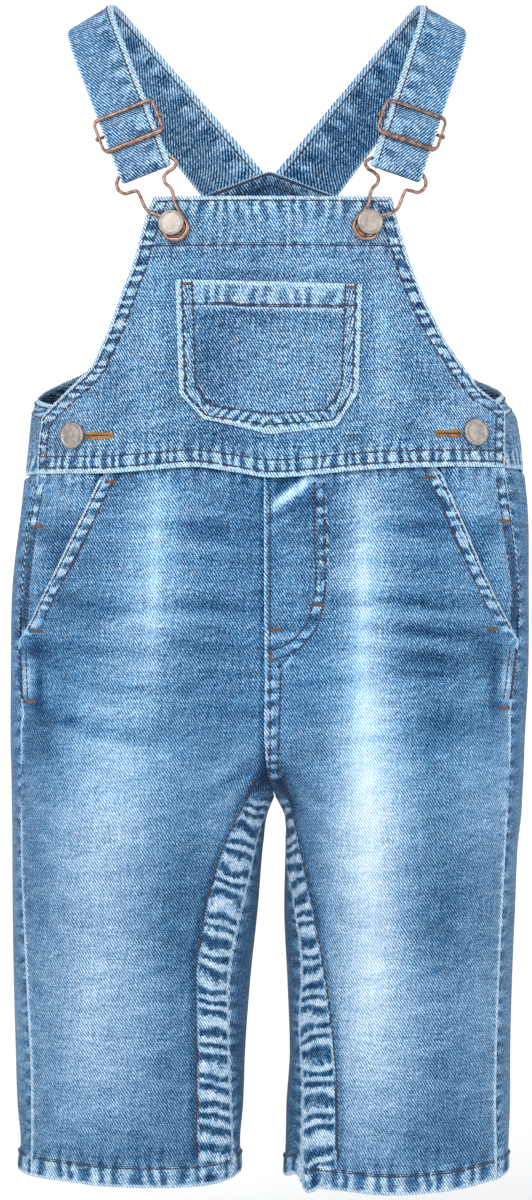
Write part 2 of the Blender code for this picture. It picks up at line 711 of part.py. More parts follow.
def front_leg(side, material):
    """Front leg panel, from the centre seam or inner edge to the pocket mouth or side seam."""
    foot = HEM_FOOT[side]
    heights = leg_rows(foot)
    inner = np.full(heights.shape, 180.0)
    below = heights < CROTCH_HEIGHT - 0.5
    reach = hermite(INNER_EDGE[side], heights[below], "across")
    inner[below] = turn_at(side, heights[below], reach, 90, 180)
    parted = heights < CROTCH_HEIGHT + 0.01
    inner = np.where(parted, shift_turn(side, heights, inner, -inseam_gap(heights)), inner)
    seam = turn_at(side, heights, hermite(SIDE_SEAM[side], heights, "across"), 0, 90)
    mouth = turn_at(side, heights, hermite(POCKET_MOUTH[side], heights, "across"), 0, 120)
    outer = np.where(heights > POCKET_FOOT, np.maximum(mouth, seam), seam)
    outer = shift_turn(side, heights, outer, GAP / 2)
    strip_x = hermite(STRIP_STITCH[side], heights, "across")
    strip = turn_at(side, heights, strip_x, 60, 179)
    strip = np.minimum(strip, shift_turn(side, heights, inner, -2.0))
    just_past = shift_turn(side, heights, strip, -0.8)
    ways = 1 - (1 - np.linspace(0, 1, 8)) ** 1.35
    turns = [inner, (inner + strip) / 2, strip]
    turns += [just_past * (1 - way) + outer * way for way in ways]
    turns = np.stack(turns, axis=1)
    levels = leg_levels(turns, heights)
    strip_rise = np.zeros(turns.shape)
    clear = smooth((np.abs(levels[:, :3] - CROTCH_HEIGHT) - 8) / 12)
    strip_rise[:, :3] = SEAM_RISE * clear
    hem_rise = SEAM_RISE * hem_fold(levels, foot)
    tuck = waist_tuck(levels)
    lift = np.maximum(strip_rise, hem_rise) + tuck
    outside = half_points(side, turns, levels, lift)
    inside = half_points(side, turns, levels, tuck - hem_wall(levels, foot))
    solid(f"front_leg_{side}", outside, inside, material)


def back_leg(side, material):
    """Back leg panel, from the side seam round the back to the centre seam or inner edge."""
    foot = HEM_FOOT[side]
    heights = leg_rows(foot)
    seam = turn_at(side, heights, hermite(SIDE_SEAM[side], heights, "across"), 0, 90)
    seam = shift_turn(side, heights, seam, -GAP / 2)
    inner = np.full(heights.shape, -180.0)
    below = heights < CROTCH_HEIGHT - 0.5
    reach = hermite(INNER_EDGE[side], heights[below], "across")
    inner[below] = turn_at(side, heights[below], reach, 90, 180) - 360
    parted = heights < CROTCH_HEIGHT + 0.01
    inner = np.where(parted, shift_turn(side, heights, inner, inseam_gap(heights)), inner)
    last = -166 - 14 * smooth((CROTCH_HEIGHT - heights) / 20)
    turns = [seam, seam / 2] + [last * way for way in np.linspace(0, 1, 12)]
    turns = np.stack(turns + [(last + inner) / 2, inner], axis=1)
    levels = leg_levels(turns, heights)
    around = np.where(turns < -180, turns + 360, turns)
    tuck = waist_tuck(levels)
    lift = SEAM_RISE * hem_fold(levels, foot) + tuck
    outside = half_points(side, around, levels, lift)
    inside = half_points(side, around, levels, tuck - hem_wall(levels, foot))
    solid(f"back_leg_{side}", outside, inside, material)


def hip_facing(side, material):
    """Hip panel that shows inside the pocket mouth; the front leg panel laps over it."""
    heights = np.array([FACING_TOP, FACING_TUCK, *HIP_ROWS[:7]], float)
    seam = turn_at(side, heights, hermite(SIDE_SEAM[side], heights, "across"), 0, 90)
    mouth = turn_at(side, heights, hermite(POCKET_MOUTH[side], heights, "across"), 0, 120)
    mouth = np.maximum(mouth, seam)
    hidden = shift_turn(side, heights, mouth, POCKET_UNDERLAP)
    outer = shift_turn(side, heights, seam, GAP / 2)
    rim = np.maximum(mouth, shift_turn(side, heights, seam, 4.0))
    shown = shift_turn(side, heights, rim, -1.2)
    turns = [hidden, (hidden + rim) / 2, rim]
    turns += [shown * (1 - way) + outer * way for way in np.linspace(0, 1, 5)]
    turns = np.stack(turns, axis=1)
    levels = np.repeat(heights[:, None], turns.shape[1], axis=1)
    levels[0, :3] = FACING_TUCK + 0.4
    place = half_form(side, turns, levels)
    edge = half_form(side, mouth, heights)[:, None, :]
    clear = np.where(turns < mouth[:, None], np.linalg.norm(place - edge, axis=-1), 0.0)
    flush = smooth((clear - 3.0) / 8.0) * smooth((levels - POCKET_FOOT - 4) / 24)
    lift = -FACING_LAP * (1 - flush)
    outside = half_points(side, turns, levels, lift)
    inside = half_points(side, turns, levels, lift - WALL)
    solid(f"hip_facing_{side}", outside, inside, material)


def trunk_normal(turn, height):
    """Outward direction on the trunk."""
    up = trunk(turn, height + 1.0) - trunk(turn, height - 1.0)
    round_it = trunk(turn + 0.5, height) - trunk(turn - 0.5, height)
    return unit(np.cross(round_it, up))


def trunk_points(turn, height, lift, dip):
    """Points on the trunk, moved down by `dip` and outward by `lift`."""
    points = trunk(turn, height)
    points[..., 2] += dip
    return points + trunk_normal(turn, height) * lift[..., None]


def waist_dip(turn, height):
    """How the waist line's curve fades out up the bib."""
    line = hermite(WAIST_LINE, trunk(turn, height)[..., 0], "height") - WAIST_MIDDLE
    return np.where(np.abs(turn) < 90, line * smooth((-196 - height) / 50), 0.0)


def bib_front(material):
    """Front bib, with a turned band at the top and a lapped edge at the waist."""
    heights = np.array(BIB_ROWS, float)
    right = trunk_turn(hermite(BIB_EDGE["R"], heights, "across"), heights)
    left = trunk_turn(hermite(BIB_EDGE["L"], heights, "across"), heights)
    near = np.array([0.0, 0.05, 0.1, 0.16, 0.23, 0.31, 0.4])
    ways = np.concatenate([near, [0.5], 1 - near[::-1]])
    turns = np.stack([right * (1 - way) + left * way for way in ways], axis=1)
    levels = np.broadcast_to(heights[:, None], turns.shape)
    dip = waist_dip(turns, levels)
    band = SEAM_RISE * smooth((levels - (BIB_TOP - BIB_BAND)) / SEAM_BAND_EASE)
    hem = SEAM_RISE * smooth((WAIST_MIDDLE + WAIST_HEM - levels) / SEAM_BAND_EASE)
    outside = trunk_points(turns, levels, np.maximum(band, hem), dip)
    inside = trunk_points(turns, levels, np.full(turns.shape, -WALL), dip)
    solid("bib_front", outside, inside, material)


def back_peak(across, height):
    """Rise of the back's top edge to its peak in the middle."""
    return BACK_PEAK * (1 - np.abs(across) / PEAK_HALF) * smooth((height - PEAK_FOOT) / PEAK_EASE)


def bib_back(material):
    """Back bib; its sides wrap round and pass under the front bib."""
    heights = np.array(BACK_ROWS, float)
    left = hermite(BACK_REACH["L"], heights, "turn")
    right = 360 - hermite(BACK_REACH["R"], heights, "turn")
    sides = np.array([0.0, 0.025, 0.05, 0.08, 0.12, 0.1484, 0.185, 0.23, 0.28, 0.34, 0.4, 0.45])
    ways = np.concatenate([sides, [0.5], 1 - sides[::-1]])
    turns = np.stack([left * (1 - way) + right * way for way in ways], axis=1)
    levels = np.broadcast_to(heights[:, None], turns.shape)
    folded = np.where(turns > 180, turns - 360, turns)
    peak = back_peak(trunk(folded, levels)[..., 0], levels)
    dip = np.where(levels > PEAK_FOOT, peak, waist_dip(folded, levels))
    under = SIDE_LAP * smooth((UNDERLAP_TURN - np.abs(folded)) / UNDERLAP_EASE)
    outside = trunk_points(folded, levels, -under, dip)
    inside = trunk_points(folded, levels, -under - WALL, dip)
    solid("bib_back", outside, inside, material)


def back_facing(material):
    """Peaked facing inside the back neck, over the strap ends."""
    heights = np.array(FACING_ROWS, float)
    ways = np.linspace(-1, 1, 11)
    across = np.broadcast_to(ways[None, :] * FACING_HALF, (len(heights), len(ways)))
    levels = np.broadcast_to(heights[:, None], across.shape)
    turns = trunk_turn(across, levels)
    turns = np.where(turns >= 0, 180 - turns, -180 - turns)
    peak = back_peak(across, levels)
    outside = trunk_points(turns, levels, np.full(turns.shape, -FACING_DEPTH), peak)
    inside = trunk_points(turns, levels, np.full(turns.shape, -FACING_DEPTH - WALL), peak)
    solid("bib_back_facing", outside, inside, material)


def bib_pocket(material):
    """Patch pocket, made from the bib's own points and moved out."""
    ways = np.array([-1.0, -0.93, -0.74, -0.5, -0.25, 0.0, 0.25, 0.5, 0.74, 0.93, 1.0])
    drops = [0.0, PATCH_HEM, PATCH_HEM + PATCH_HEM_EASE, 0.35, 0.5, 0.65, 0.8, 0.92, 1.0]
    share, way = np.meshgrid(drops, ways, indexing="ij")
    foot = hermite(PATCH_FOOT, way, "height")
    top = PATCH_TOP + way * PATCH_HALF_TOP * PATCH_TOP_TILT
    heights = top + (foot - top) * share
    half = PATCH_HALF_TOP + (PATCH_HALF_FOOT - PATCH_HALF_TOP) * share
    turns = trunk_turn(PATCH_MIDDLE + way * half, heights)
    hem = SEAM_RISE * smooth((PATCH_HEM + PATCH_HEM_EASE - share) / PATCH_HEM_EASE)
    dip = waist_dip(turns, heights)
    outside = trunk_points(turns, heights, GAP + POCKET_WALL + hem, dip)
    inside = trunk_points(turns, heights, np.full(turns.shape, GAP), dip)
    solid("bib_pocket", outside, inside, material)


def strap_axes(side):
    """Ridge direction toward the neck, and the direction square to it, upward."""
    strap = STRAPS[side]
    inward = -SIDES[side]
    tilt = radians(strap.tilt)
    ridge = np.array([inward * np.cos(tilt), 0.0, np.sin(tilt)])
    rise = np.array([-inward * np.sin(tilt), 0.0, np.cos(tilt)])
    return ridge, rise


def strap_point(side, run, cross, lift):
    """Point on a strap: run is 0 on the ridge, positive down the front; cross is inward."""
    strap = STRAPS[side]
    ridge, rise = strap_axes(side)
    ease = smooth((run + CROSS_BLEND) / (2 * CROSS_BLEND))
    angle = np.radians(strap.back_cross + (strap.front_cross - strap.back_cross) * ease)
    wide = np.where(run < 0, 1 + (STRAP_HALF_BACK / STRAP_HALF - 1) * -run / strap.back_run, 1)
    cross = cross * wide
    along = -run * np.cos(angle) + cross * np.sin(angle)
    over = run * np.sin(angle) + cross * np.cos(angle)
    lean = np.where(over > 0, FRONT_LEAN, BACK_LEAN)
    bend = np.radians(90 - lean)
    turn = np.minimum(np.abs(over) / RIDGE_RADIUS, bend)
    straight = np.maximum(np.abs(over) - RIDGE_RADIUS * bend, 0)
    drop = RIDGE_RADIUS * (1 - np.cos(turn)) + straight * np.sin(bend)
    depth = RIDGE_RADIUS * np.sin(turn) + straight * np.cos(bend)
    facing = np.where(over > 0, -1.0, 1.0)
    top = np.array([strap.across, 0.0, STRAP_TOP - STRAP_HALF * np.sin(radians(strap.tilt))])
    top = top - rise * STRAP_WALL / 2
    point = top + along[..., None] * ridge - drop[..., None] * rise
    point[..., 1] += facing * depth
    normal = np.cos(turn)[..., None] * rise
    normal[..., 1] += facing * np.sin(turn)
    return point + normal * lift[..., None]


def front_bulge(side, run):
    """Outward push of the front layer: back behind the frame's bars, forward over its bar."""
    middle = STRAPS[side].slider
    high = middle - FRAME_HALF_HEIGHT
    low = middle + FRAME_HALF_HEIGHT
    over = np.exp(-(((run - middle) / BEND_REACH) ** 2))
    dip_high = np.exp(-(((run - high) / BEND_REACH) ** 2))
    dip_low = np.exp(-(((run - low) / BEND_REACH) ** 2))
    return BEND_OVER * over - BEND_BEHIND_TOP * dip_high - BEND_BEHIND_FOOT * dip_low


def strap_layers(side):
    """Runs and lifts along a strap's middle: back end, ridge, front, hook fold and return."""
    strap = STRAPS[side]
    back = np.linspace(-strap.back_run, -RIDGE_RUN, 6)[:-1]
    ridge = np.linspace(-RIDGE_RUN, RIDGE_RUN, 17)
    foot = strap.front_run
    front = np.linspace(FRONT_START, foot - 2 * RETURN_STEP, 21)
    runs = np.concatenate([back, ridge, front, [foot - RETURN_STEP, foot]])
    lifts = np.where(runs > FRONT_START, front_bulge(side, runs), 0.0)
    fold = np.radians(np.linspace(22.5, 157.5, 7))
    fold_runs = foot + FOLD_RADIUS * np.sin(fold)
    fold_lifts = lifts[-1] - FOLD_RADIUS + FOLD_RADIUS * np.cos(fold)
    rest = np.linspace(foot - 3 * RETURN_STEP, strap.slider - 1.6, 11)
    rest = np.concatenate([[foot, foot - RETURN_STEP], rest])
    ease = smooth((strap.slider + 8.0 - rest) / 7.0)
    far = lifts[-1] - 2 * FOLD_RADIUS
    near = BAR_LIFT - BAR_WIRE - GAP - STRAP_WALL / 2
    rest_lifts = far * (1 - ease) + near * ease
    return np.concatenate([runs, fold_runs, rest]), np.concatenate([lifts, fold_lifts, rest_lifts])


def strap(side, material):
    """Shoulder strap with its end folded up behind."""
    runs, lifts = strap_layers(side)
    crosses = np.array([-STRAP_HALF, 0.0, STRAP_HALF])
    run, cross = np.meshgrid(runs, crosses, indexing="ij")
    lift = np.broadcast_to(lifts[:, None], run.shape)
    end = smooth((-run - (STRAPS[side].back_run - STRAP_SETTLE)) / STRAP_SETTLE)
    run = run - end * cross * np.tan(radians(STRAP_CUT))
    middle = strap_point(side, run, cross, lift)
    settled = settle_end(side, run, middle)
    along = np.gradient(settled, axis=0)
    across = settled[:, -1:] - settled[:, :1]
    normal = unit(np.cross(across, along)) * SIDES[side]
    half = STRAP_WALL / 2
    solid(f"strap_{side}", settled + normal * half, settled - normal * half, material)


def settle_end(side, run, points):
    """Bring the strap's back end onto the back bib's curve."""
    start = STRAPS[side].back_run - STRAP_SETTLE
    share = smooth((-run - start) / (STRAP_SETTLE - SETTLE_END))
    height = points[..., 2] - back_peak(points[..., 0], points[..., 2])
    turn = trunk_turn(points[..., 0], height)
    behind = trunk(np.where(turn >= 0, 180 - turn, -180 - turn), height)
    target = behind[..., 1] - WALL / 2
    moved = points.copy()
    moved[..., 1] += (target - points[..., 1]) * share
    return moved


def strap_frame(side, run):
    """Centre of a strap's front layer at a run, with its inward, upward and outward directions."""
    here = strap_point(side, np.array(run), np.array(0.0), np.array(0.0))
    above = strap_point(side, np.array(run - 1.0), np.array(0.0), np.array(0.0))
    inward = strap_point(side, np.array(run), np.array(1.0), np.array(0.0))
    up = unit(above - here)
    side_way = unit(inward - here)
    out = unit(np.cross(side_way, up)) * -SIDES[side]
    if out[1] > 0:
        out = -out
    return here, side_way, up, out


def rounded_frame(steps):
    """Outline of the slider frame as across and up pairs, corner arcs included."""
    pairs = []
    corners = ((1, 1, 0), (-1, 1, 90), (-1, -1, 180), (1, -1, 270))
    for sx, sz, start in corners:
        for k in range(steps + 1):
            angle = radians(start + 90 * k / steps)
            x = sx * (FRAME_HALF_WIDTH - FRAME_CORNER) + FRAME_CORNER * np.cos(angle)
            z = sz * (FRAME_HALF_HEIGHT - FRAME_CORNER) + FRAME_CORNER * np.sin(angle)
            pairs.append((x, z))
    return pairs


def slider(side, material):
    """Slider: a wire frame with a thicker lower rail, and the centre bar with knobbed ends."""
    here, side_way, up, out = strap_frame(side, STRAPS[side].slider)
    path = []
    radii = []
    for x, z in rounded_frame(3):
        path.append(here + side_way * x + up * z + out * FRAME_LIFT)
        rail = FRAME_TOP_WIRE if z > 0 else FRAME_FOOT_WIRE
        level = smooth((abs(z) - FRAME_HALF_HEIGHT + 1.6) / 1.6)
        radii.append(FRAME_SIDE_WIRE + (rail - FRAME_SIDE_WIRE) * level)
    tube(f"slider_frame_{side}", path, radii, 6, material, True)
    centre = here + out * BAR_LIFT
    reach = FRAME_HALF_WIDTH + 2.2
    spots = (-reach, -reach + 0.5, -reach + 1.6, -reach + 2.1, reach - 2.1, reach - 1.6,
             reach - 0.5, reach)
    sizes = (0.6, KNOB, KNOB, BAR_WIRE, BAR_WIRE, KNOB, KNOB, 0.6)
    tube(f"slider_bar_{side}", [centre + side_way * x for x in spots], sizes, 8, material, False)


def bib_place(button):
    """Point on the bib's outer face, with the outward direction there."""
    height = np.array(button.height)
    turn = trunk_turn(np.array(button.across), height)
    point = trunk(turn, height)
    return point, trunk_normal(turn, height)


def hook(side, material):
    """Wire hook: straight through the strap's fold, two bowed arms and a loop round the shank."""
    inward = -SIDES[side]
    fold_run = STRAPS[side].front_run
    here, side_way, up, out = strap_frame(side, fold_run)
    drop = front_bulge(side, np.array(fold_run)) - FOLD_RADIUS
    centre = here + out * drop
    button, normal = bib_place(BIB_BUTTONS[side])
    base = button + normal * (GAP + SEAM_RISE + COLLAR + GAP + LOOP_WIRE)
    across = unit(np.cross((0.0, 0.0, 1.0), normal))
    flat_up = np.cross(normal, across)
    flat_way = across * inward
    middle = base + flat_way * LOOP_SHIFT[0] + flat_up * LOOP_SHIFT[1]
    loop = []
    for angle in range(150, 391, 24):
        turn = radians(angle)
        loop.append(middle + (flat_way * np.cos(turn) + flat_up * np.sin(turn)) * LOOP_RADIUS)
    foot = centre - up * FOLD_REACH
    arms = []
    for arm in HOOK_ARMS:
        point = foot + side_way * arm.inward + up * arm.up
        share = smooth((-arm.up - 1.0) / 9.0)
        off = (point - middle) * normal
        level = middle[1] - (off[0] + off[2]) / normal[1]
        point[1] += (level - point[1]) * share
        arms.append(point)
    count = len(OUTER_ARM)
    path = arms[:count] + loop + arms[count:] + [centre]
    radii = np.full(len(path), HOOK_WIRE)
    radii[count:count + len(loop)] = LOOP_WIRE
    tube(f"hook_{side}", path, radii, 6, material, True)


def bib_button(side, material):
    """Tack button: collar on the cloth, narrow shank and a domed cap with a rim."""
    point, normal = bib_place(BIB_BUTTONS[side])
    lift = GAP + SEAM_RISE
    neck = lift + COLLAR
    cap = neck + GAP + 2 * LOOP_WIRE + GAP
    profile = [(3.6, lift), (3.8, neck - 0.2), (3.4, neck), (SHANK, neck), (SHANK, cap)]
    profile += [(CAP_RADIUS + inset, cap + rise) for inset, rise in CAP_PROFILE]
    turned(f"bib_button_{side}", profile, point, normal, 14, material)


def side_button(side, material):
    """Side button, low on the bib at the end of its buttonhole."""
    point, normal = bib_place(SIDE_BUTTONS[side])
    cap = GAP + SIDE_CAP_LIFT
    profile = [(SIDE_SHANK, GAP), (SIDE_SHANK, cap)]
    profile += [(SIDE_CAP_RADIUS + inset, cap + rise) for inset, rise in CAP_PROFILE]
    turned(f"side_button_{side}", profile, point, normal, 14, material)


def clear_scene():
    """Remove every object, so that the part is alone."""
    for thing in list(bpy.data.objects):
        bpy.data.objects.remove(thing, do_unlink=True)


def build():
    """Make every piece of the garment."""
    clear_scene()
    denim = finish("washed_denim", (0.19, 0.36, 0.60), 0.9, 0.0)
    denim_inside = finish("facing_denim", (0.08, 0.17, 0.33), 0.9, 0.0)
    copper = finish("copper_wire", (0.42, 0.25, 0.18), 0.35, 1.0)
    nickel = finish("nickel_cap", (0.62, 0.57, 0.50), 0.4, 1.0)
    bib_front(denim)
    bib_pocket(denim)
    bib_back(denim)
    back_facing(denim_inside)
    for side in SIDES:
        front_leg(side, denim)
        back_leg(side, denim)
        hip_facing(side, denim)
        strap(side, denim)
        slider(side, copper)
        hook(side, copper)
        bib_button(side, nickel)
        side_button(side, nickel)


build()
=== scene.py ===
import json
import math

import bpy
import numpy as np
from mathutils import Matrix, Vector
from mathutils.bvhtree import BVHTree

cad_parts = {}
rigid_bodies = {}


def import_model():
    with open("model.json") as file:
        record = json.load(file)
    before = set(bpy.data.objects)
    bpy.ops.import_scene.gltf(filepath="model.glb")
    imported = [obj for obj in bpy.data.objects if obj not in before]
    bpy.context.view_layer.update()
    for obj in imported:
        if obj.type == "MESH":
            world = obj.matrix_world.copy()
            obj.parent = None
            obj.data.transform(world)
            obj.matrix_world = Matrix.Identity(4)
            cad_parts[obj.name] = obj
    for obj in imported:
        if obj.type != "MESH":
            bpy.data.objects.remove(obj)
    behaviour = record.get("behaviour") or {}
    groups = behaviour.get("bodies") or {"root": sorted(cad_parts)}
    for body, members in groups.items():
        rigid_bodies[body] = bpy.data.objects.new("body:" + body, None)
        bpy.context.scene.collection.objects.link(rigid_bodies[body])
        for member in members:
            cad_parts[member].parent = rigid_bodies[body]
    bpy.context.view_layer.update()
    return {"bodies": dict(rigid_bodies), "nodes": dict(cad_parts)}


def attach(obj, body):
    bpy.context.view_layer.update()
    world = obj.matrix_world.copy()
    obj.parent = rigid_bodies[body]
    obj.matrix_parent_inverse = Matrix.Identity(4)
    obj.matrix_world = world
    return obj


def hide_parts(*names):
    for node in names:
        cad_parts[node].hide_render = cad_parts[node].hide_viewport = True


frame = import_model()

mm = 0.001
sideSign = {"R": -1, "L": 1}
print("frame loaded:", len(frame["nodes"]), "nodes")

kept = set(frame["nodes"].values()) | set(frame["bodies"].values())
for thing in list(bpy.data.objects):
    if thing not in kept:
        bpy.data.objects.remove(thing, do_unlink=True)

# Form of the garment, in millimetres: height, half width on the right and on the left, depth in
# front and depth behind
ringRows = [
    (-640, 130.6, 124.2, 33.0, 34.0), (-608, 130.4, 124.0, 34.0, 35.0),
    (-592, 129.3, 124.4, 36.0, 37.0), (-574, 130.8, 125.0, 39.0, 40.0),
    (-545, 131.8, 125.1, 42.5, 43.5), (-509, 132.8, 126.0, 46.5, 47.5),
    (-470, 133.4, 127.6, 49.5, 51.0), (-436, 133.6, 129.2, 52.0, 54.5),
    (-422, 133.7, 130.8, 53.2, 56.0), (-413, 133.9, 131.3, 54.0, 57.0),
    (-402, 134.0, 131.9, 55.0, 58.5), (-384, 134.5, 132.6, 56.2, 60.0),
    (-350, 134.4, 134.4, 57.5, 61.0), (-300, 133.2, 134.7, 57.0, 58.0),
    (-262, 128.7, 133.9, 55.5, 54.0), (-249, 127.4, 132.5, 55.0, 53.0),
    (-224, 124.9, 129.9, 53.5, 52.0), (-217, 124.2, 128.5, 53.0, 51.5),
    (-208, 121.9, 123.2, 52.4, 51.0), (-194, 118.0, 120.0, 51.5, 50.0),
    (-150, 113.0, 114.0, 48.0, 46.5), (-106, 109.0, 109.0, 43.5, 41.5),
    (-81, 106.0, 106.0, 41.0, 39.0),
]
levels = {
    "R": [(height, -right, front, back) for height, right, left, front, back in ringRows],
    "L": [(height, left, front, back) for height, right, left, front, back in ringRows],
}
body = {
    "wall": 1.4, "gap": 0.3, "rise": 0.5, "split": -368.0, "crotch": -413.0,
    "trunkPower": 2.3, "legPower": 2.2, "easeTop": -325.0, "easeFoot": -446.0,
    "waist": -246.0, "hem": 10.0, "hemWall": 2.3, "tuck": 2.5,
}
riseDrop = body["split"] - body["crotch"]
centreSeam = [(-413, 2.8), (-404, 0), (-390, -2), (-350, -2.4), (-81, -2.8)]
innerLeg = {
    "R": [(-640, -14.3), (-608, -14.6), (-592, -15), (-574, -13.5), (-545, -12.4), (-509, -9.8),
          (-470, -5.7), (-436, -2.8), (-422, -0.8), (-413, 2.8)],
    "L": [(-640, 6.9), (-608, 7.5), (-592, 8.2), (-574, 8.5), (-545, 10.3), (-509, 9.1),
          (-470, 7.4), (-436, 8.1), (-422, 7.4), (-413, 2.8)],
}
legLine = {
    "R": [(-640, -14.3), (-592, -14.6), (-545, -12.4), (-509, -9.6), (-470, -6), (-436, -3.2),
          (-405, -1.2), (-360, 0), (-81, 0)],
    "L": [(-640, 6.9), (-592, 8.2), (-545, 9.6), (-509, 9.1), (-470, 8), (-436, 6.9), (-405, 5),
          (-360, 2), (-81, 0)],
}
sideSeam = {
    "R": [(-640, -123.6), (-605, -123.2), (-562, -122.7), (-520, -124.4), (-444, -127.7),
          (-375, -128), (-331, -129.4), (-300, -127.5), (-273, -124.4), (-247, -119.9),
          (-230, -117)],
    "L": [(-640, 117.4), (-605, 117.4), (-568, 116.6), (-524, 117.4), (-430, 121.6), (-383, 124),
          (-368, 124.7), (-331, 128.4), (-306, 129), (-293, 127.9), (-270, 124.6), (-247, 121.2),
          (-230, 119)],
}
innerEdge = {
    "R": [(-640, -19), (-597, -19), (-530, -20.8), (-500, -20.2), (-477, -15.9), (-452, -10),
          (-426, -3.6), (-413, 2.8)],
    "L": [(-640, 16.4), (-606, 16.4), (-564, 16.9), (-528, 15.2), (-501, 16.4), (-468, 12.5),
          (-448, 9.1), (-426, 8.2), (-413, 2.8)],
}
stripStitch = {
    "R": [(-640, -37.7), (-606, -37.6), (-562, -37.2), (-501, -37.5), (-486, -35.6), (-457, -30),
          (-427, -19.1), (-410, -10.2), (-398, -6), (-230, -6)],
    "L": [(-640, 34.6), (-603, 34.6), (-554, 33.9), (-512, 29.6), (-482, 24.7), (-452, 18.7),
          (-424, 12.7), (-400, 7), (-350, 5), (-338, 12), (-327, 20), (-312, 25), (-230, 25.2)],
}
pocketMouth = {
    "R": [(-331, -128.8), (-325, -124.7), (-311, -117.5), (-290, -106.9), (-269, -96.5),
          (-247, -86), (-230, -78)],
    "L": [(-331, 127.8), (-325, 124.5), (-311, 116.6), (-289, 106.3), (-268, 96.5), (-247, 86.4),
          (-230, 78)],
}
pocketFoot = -331.0
waistLine = [(-135, -246), (-86, -246.6), (-60, -245), (-39, -243.6), (-17, -246.4), (0, -249),
             (8, -248.8), (26, -247.2), (46, -245.2), (87, -243.2), (121, -243), (135, -243.4)]
hemFoot = {"R": -607.8, "L": -610.8}
hemLine = {
    "R": [(14.5, 0.8), (20.3, -1.7), (26.4, -3), (38.6, -3.9), (51, -4), (69, -3.7), (88, -2.9),
          (100, -1.5), (113, -0.5), (126, 0.7), (130.4, 1.8)],
    "L": [(7.8, 1.5), (15.6, 1.3), (17, -2.2), (25.9, -2.4), (38, -2.9), (50.3, -4.2),
          (62.6, -4.6), (81, -3.8), (99.6, -1.8), (112, 0.5), (118.7, 1.5), (124, 4)],
}
# Folds that the cloth keeps: turn, height, half length, half width, lean, depth
folds = {
    "R": [(42, -372, 24, 6, -24, -1.5), (50, -384, 20, 7, -30, 0.9), (118, -372, 26, 8, 10, 0.7),
          (96, -520, 30, 12, 4, 0.8), (-95, -396, 34, 8, -12, -2.2),
          (-110, -418, 30, 9, -20, 1.8), (-84, -498, 32, 9, 6, -2.4),
          (-100, -514, 28, 9, -4, 1.7), (-80, -574, 24, 8, 9, -1.3)],
    "L": [(40, -369, 18, 6, 22, -1), (122, -362, 24, 8, -12, 0.7), (100, -505, 28, 12, -6, 0.8),
          (-90, -392, 36, 8, 10, -2), (-112, -414, 28, 9, 18, 1.6), (-98, -492, 30, 8, -8, -2.1),
          (-86, -509, 32, 9, 7, 1.9), (-92, -568, 26, 8, -6, -1.5)],
}


def hermite(t, span, low, high, lowSlope, highSlope):
    # cubic between two values, with given slopes at its ends
    start = (1 + 2 * t) * (1 - t) ** 2 * low + t * (1 - t) ** 2 * span * lowSlope
    end = t * t * (3 - 2 * t) * high + t * t * (t - 1) * span * highSlope
    return start + end


def curve(table, where, column=1):
    # smooth curve through a table's rows: cubic between rows, level at a peak or a dip
    rows = np.array(sorted(table), float)
    xs = rows[:, 0]
    ys = rows[:, column]
    slopes = np.gradient(ys, xs)
    steps = np.diff(ys) / np.diff(xs)
    slopes[1:-1] = np.where(steps[:-1] * steps[1:] <= 0, 0.0, slopes[1:-1])
    x = np.clip(np.asarray(where, float), xs[0], xs[-1])
    k = np.clip(np.searchsorted(xs, x, side="right") - 1, 0, len(xs) - 2)
    span = xs[k + 1] - xs[k]
    return hermite((x - xs[k]) / span, span, ys[k], ys[k + 1], slopes[k], slopes[k + 1])


def smooth(x):
    # 0 below 0, 1 above 1, and 3t^2 - 2t^3 between
    t = np.clip(x, 0.0, 1.0)
    return t * t * (3 - 2 * t)


def bell(distance, width):
    # exp(-(distance/width)^2)
    return np.exp(-((distance / width) ** 2))


def dying(distance, reach):
    # 1 up to a line, then exp(-distance/reach) beyond it
    return np.exp(-np.maximum(distance, 0) / reach)


def signedPower(value, exponent):
    # sign(value) * |value|^exponent
    return np.sign(value) * np.abs(value) ** exponent


def unit(vectors):
    return vectors / np.linalg.norm(vectors, axis=-1, keepdims=True)


def halfWidth(across, height):
    # of the side that a place is on
    right = -curve(levels["R"], height, 1)
    left = curve(levels["L"], height, 1)
    return np.where(np.asarray(across) < 0, right, left)


def trunk(turn, height):
    # rounded-square ring: x = width sin^p, y = -depth cos^p; turn 0 is the front, 180 the back
    angle = np.radians(turn)
    wide = halfWidth(np.sin(angle), height)
    depth = curve(levels["L"], height, 2)
    depth = np.where(np.cos(angle) > 0, depth, curve(levels["L"], height, 3))
    x = wide * signedPower(np.sin(angle), 2 / body["trunkPower"])
    y = -depth * signedPower(np.cos(angle), 2 / body["trunkPower"])
    return np.stack([x, y, np.broadcast_to(height, x.shape)], axis=-1)


def trunkTurn(across, height):
    share = np.clip(np.abs(across) / halfWidth(across, height), 0.0, 1.0)
    return np.sign(across) * np.degrees(np.arcsin(share ** (body["trunkPower"] / 2)))


def trunkNormal(turn, height):
    up = trunk(turn, height + 1.0) - trunk(turn, height - 1.0)
    roundIt = trunk(turn + 0.5, height) - trunk(turn - 0.5, height)
    return unit(np.cross(roundIt, up))


def legShare(turn, height):
    # 0 on the trunk and 1 on the legs: a quarter ellipse inside, a long ease outside
    t = np.clip((body["split"] - height) / riseDrop, 0.0, 1.0)
    ease = smooth((body["easeTop"] - height) / (body["easeTop"] - body["easeFoot"]))
    near = smooth((np.abs(turn) - 118) / 58)
    return ease * (1 - near) + (1 - np.sqrt(1 - t * t)) * near


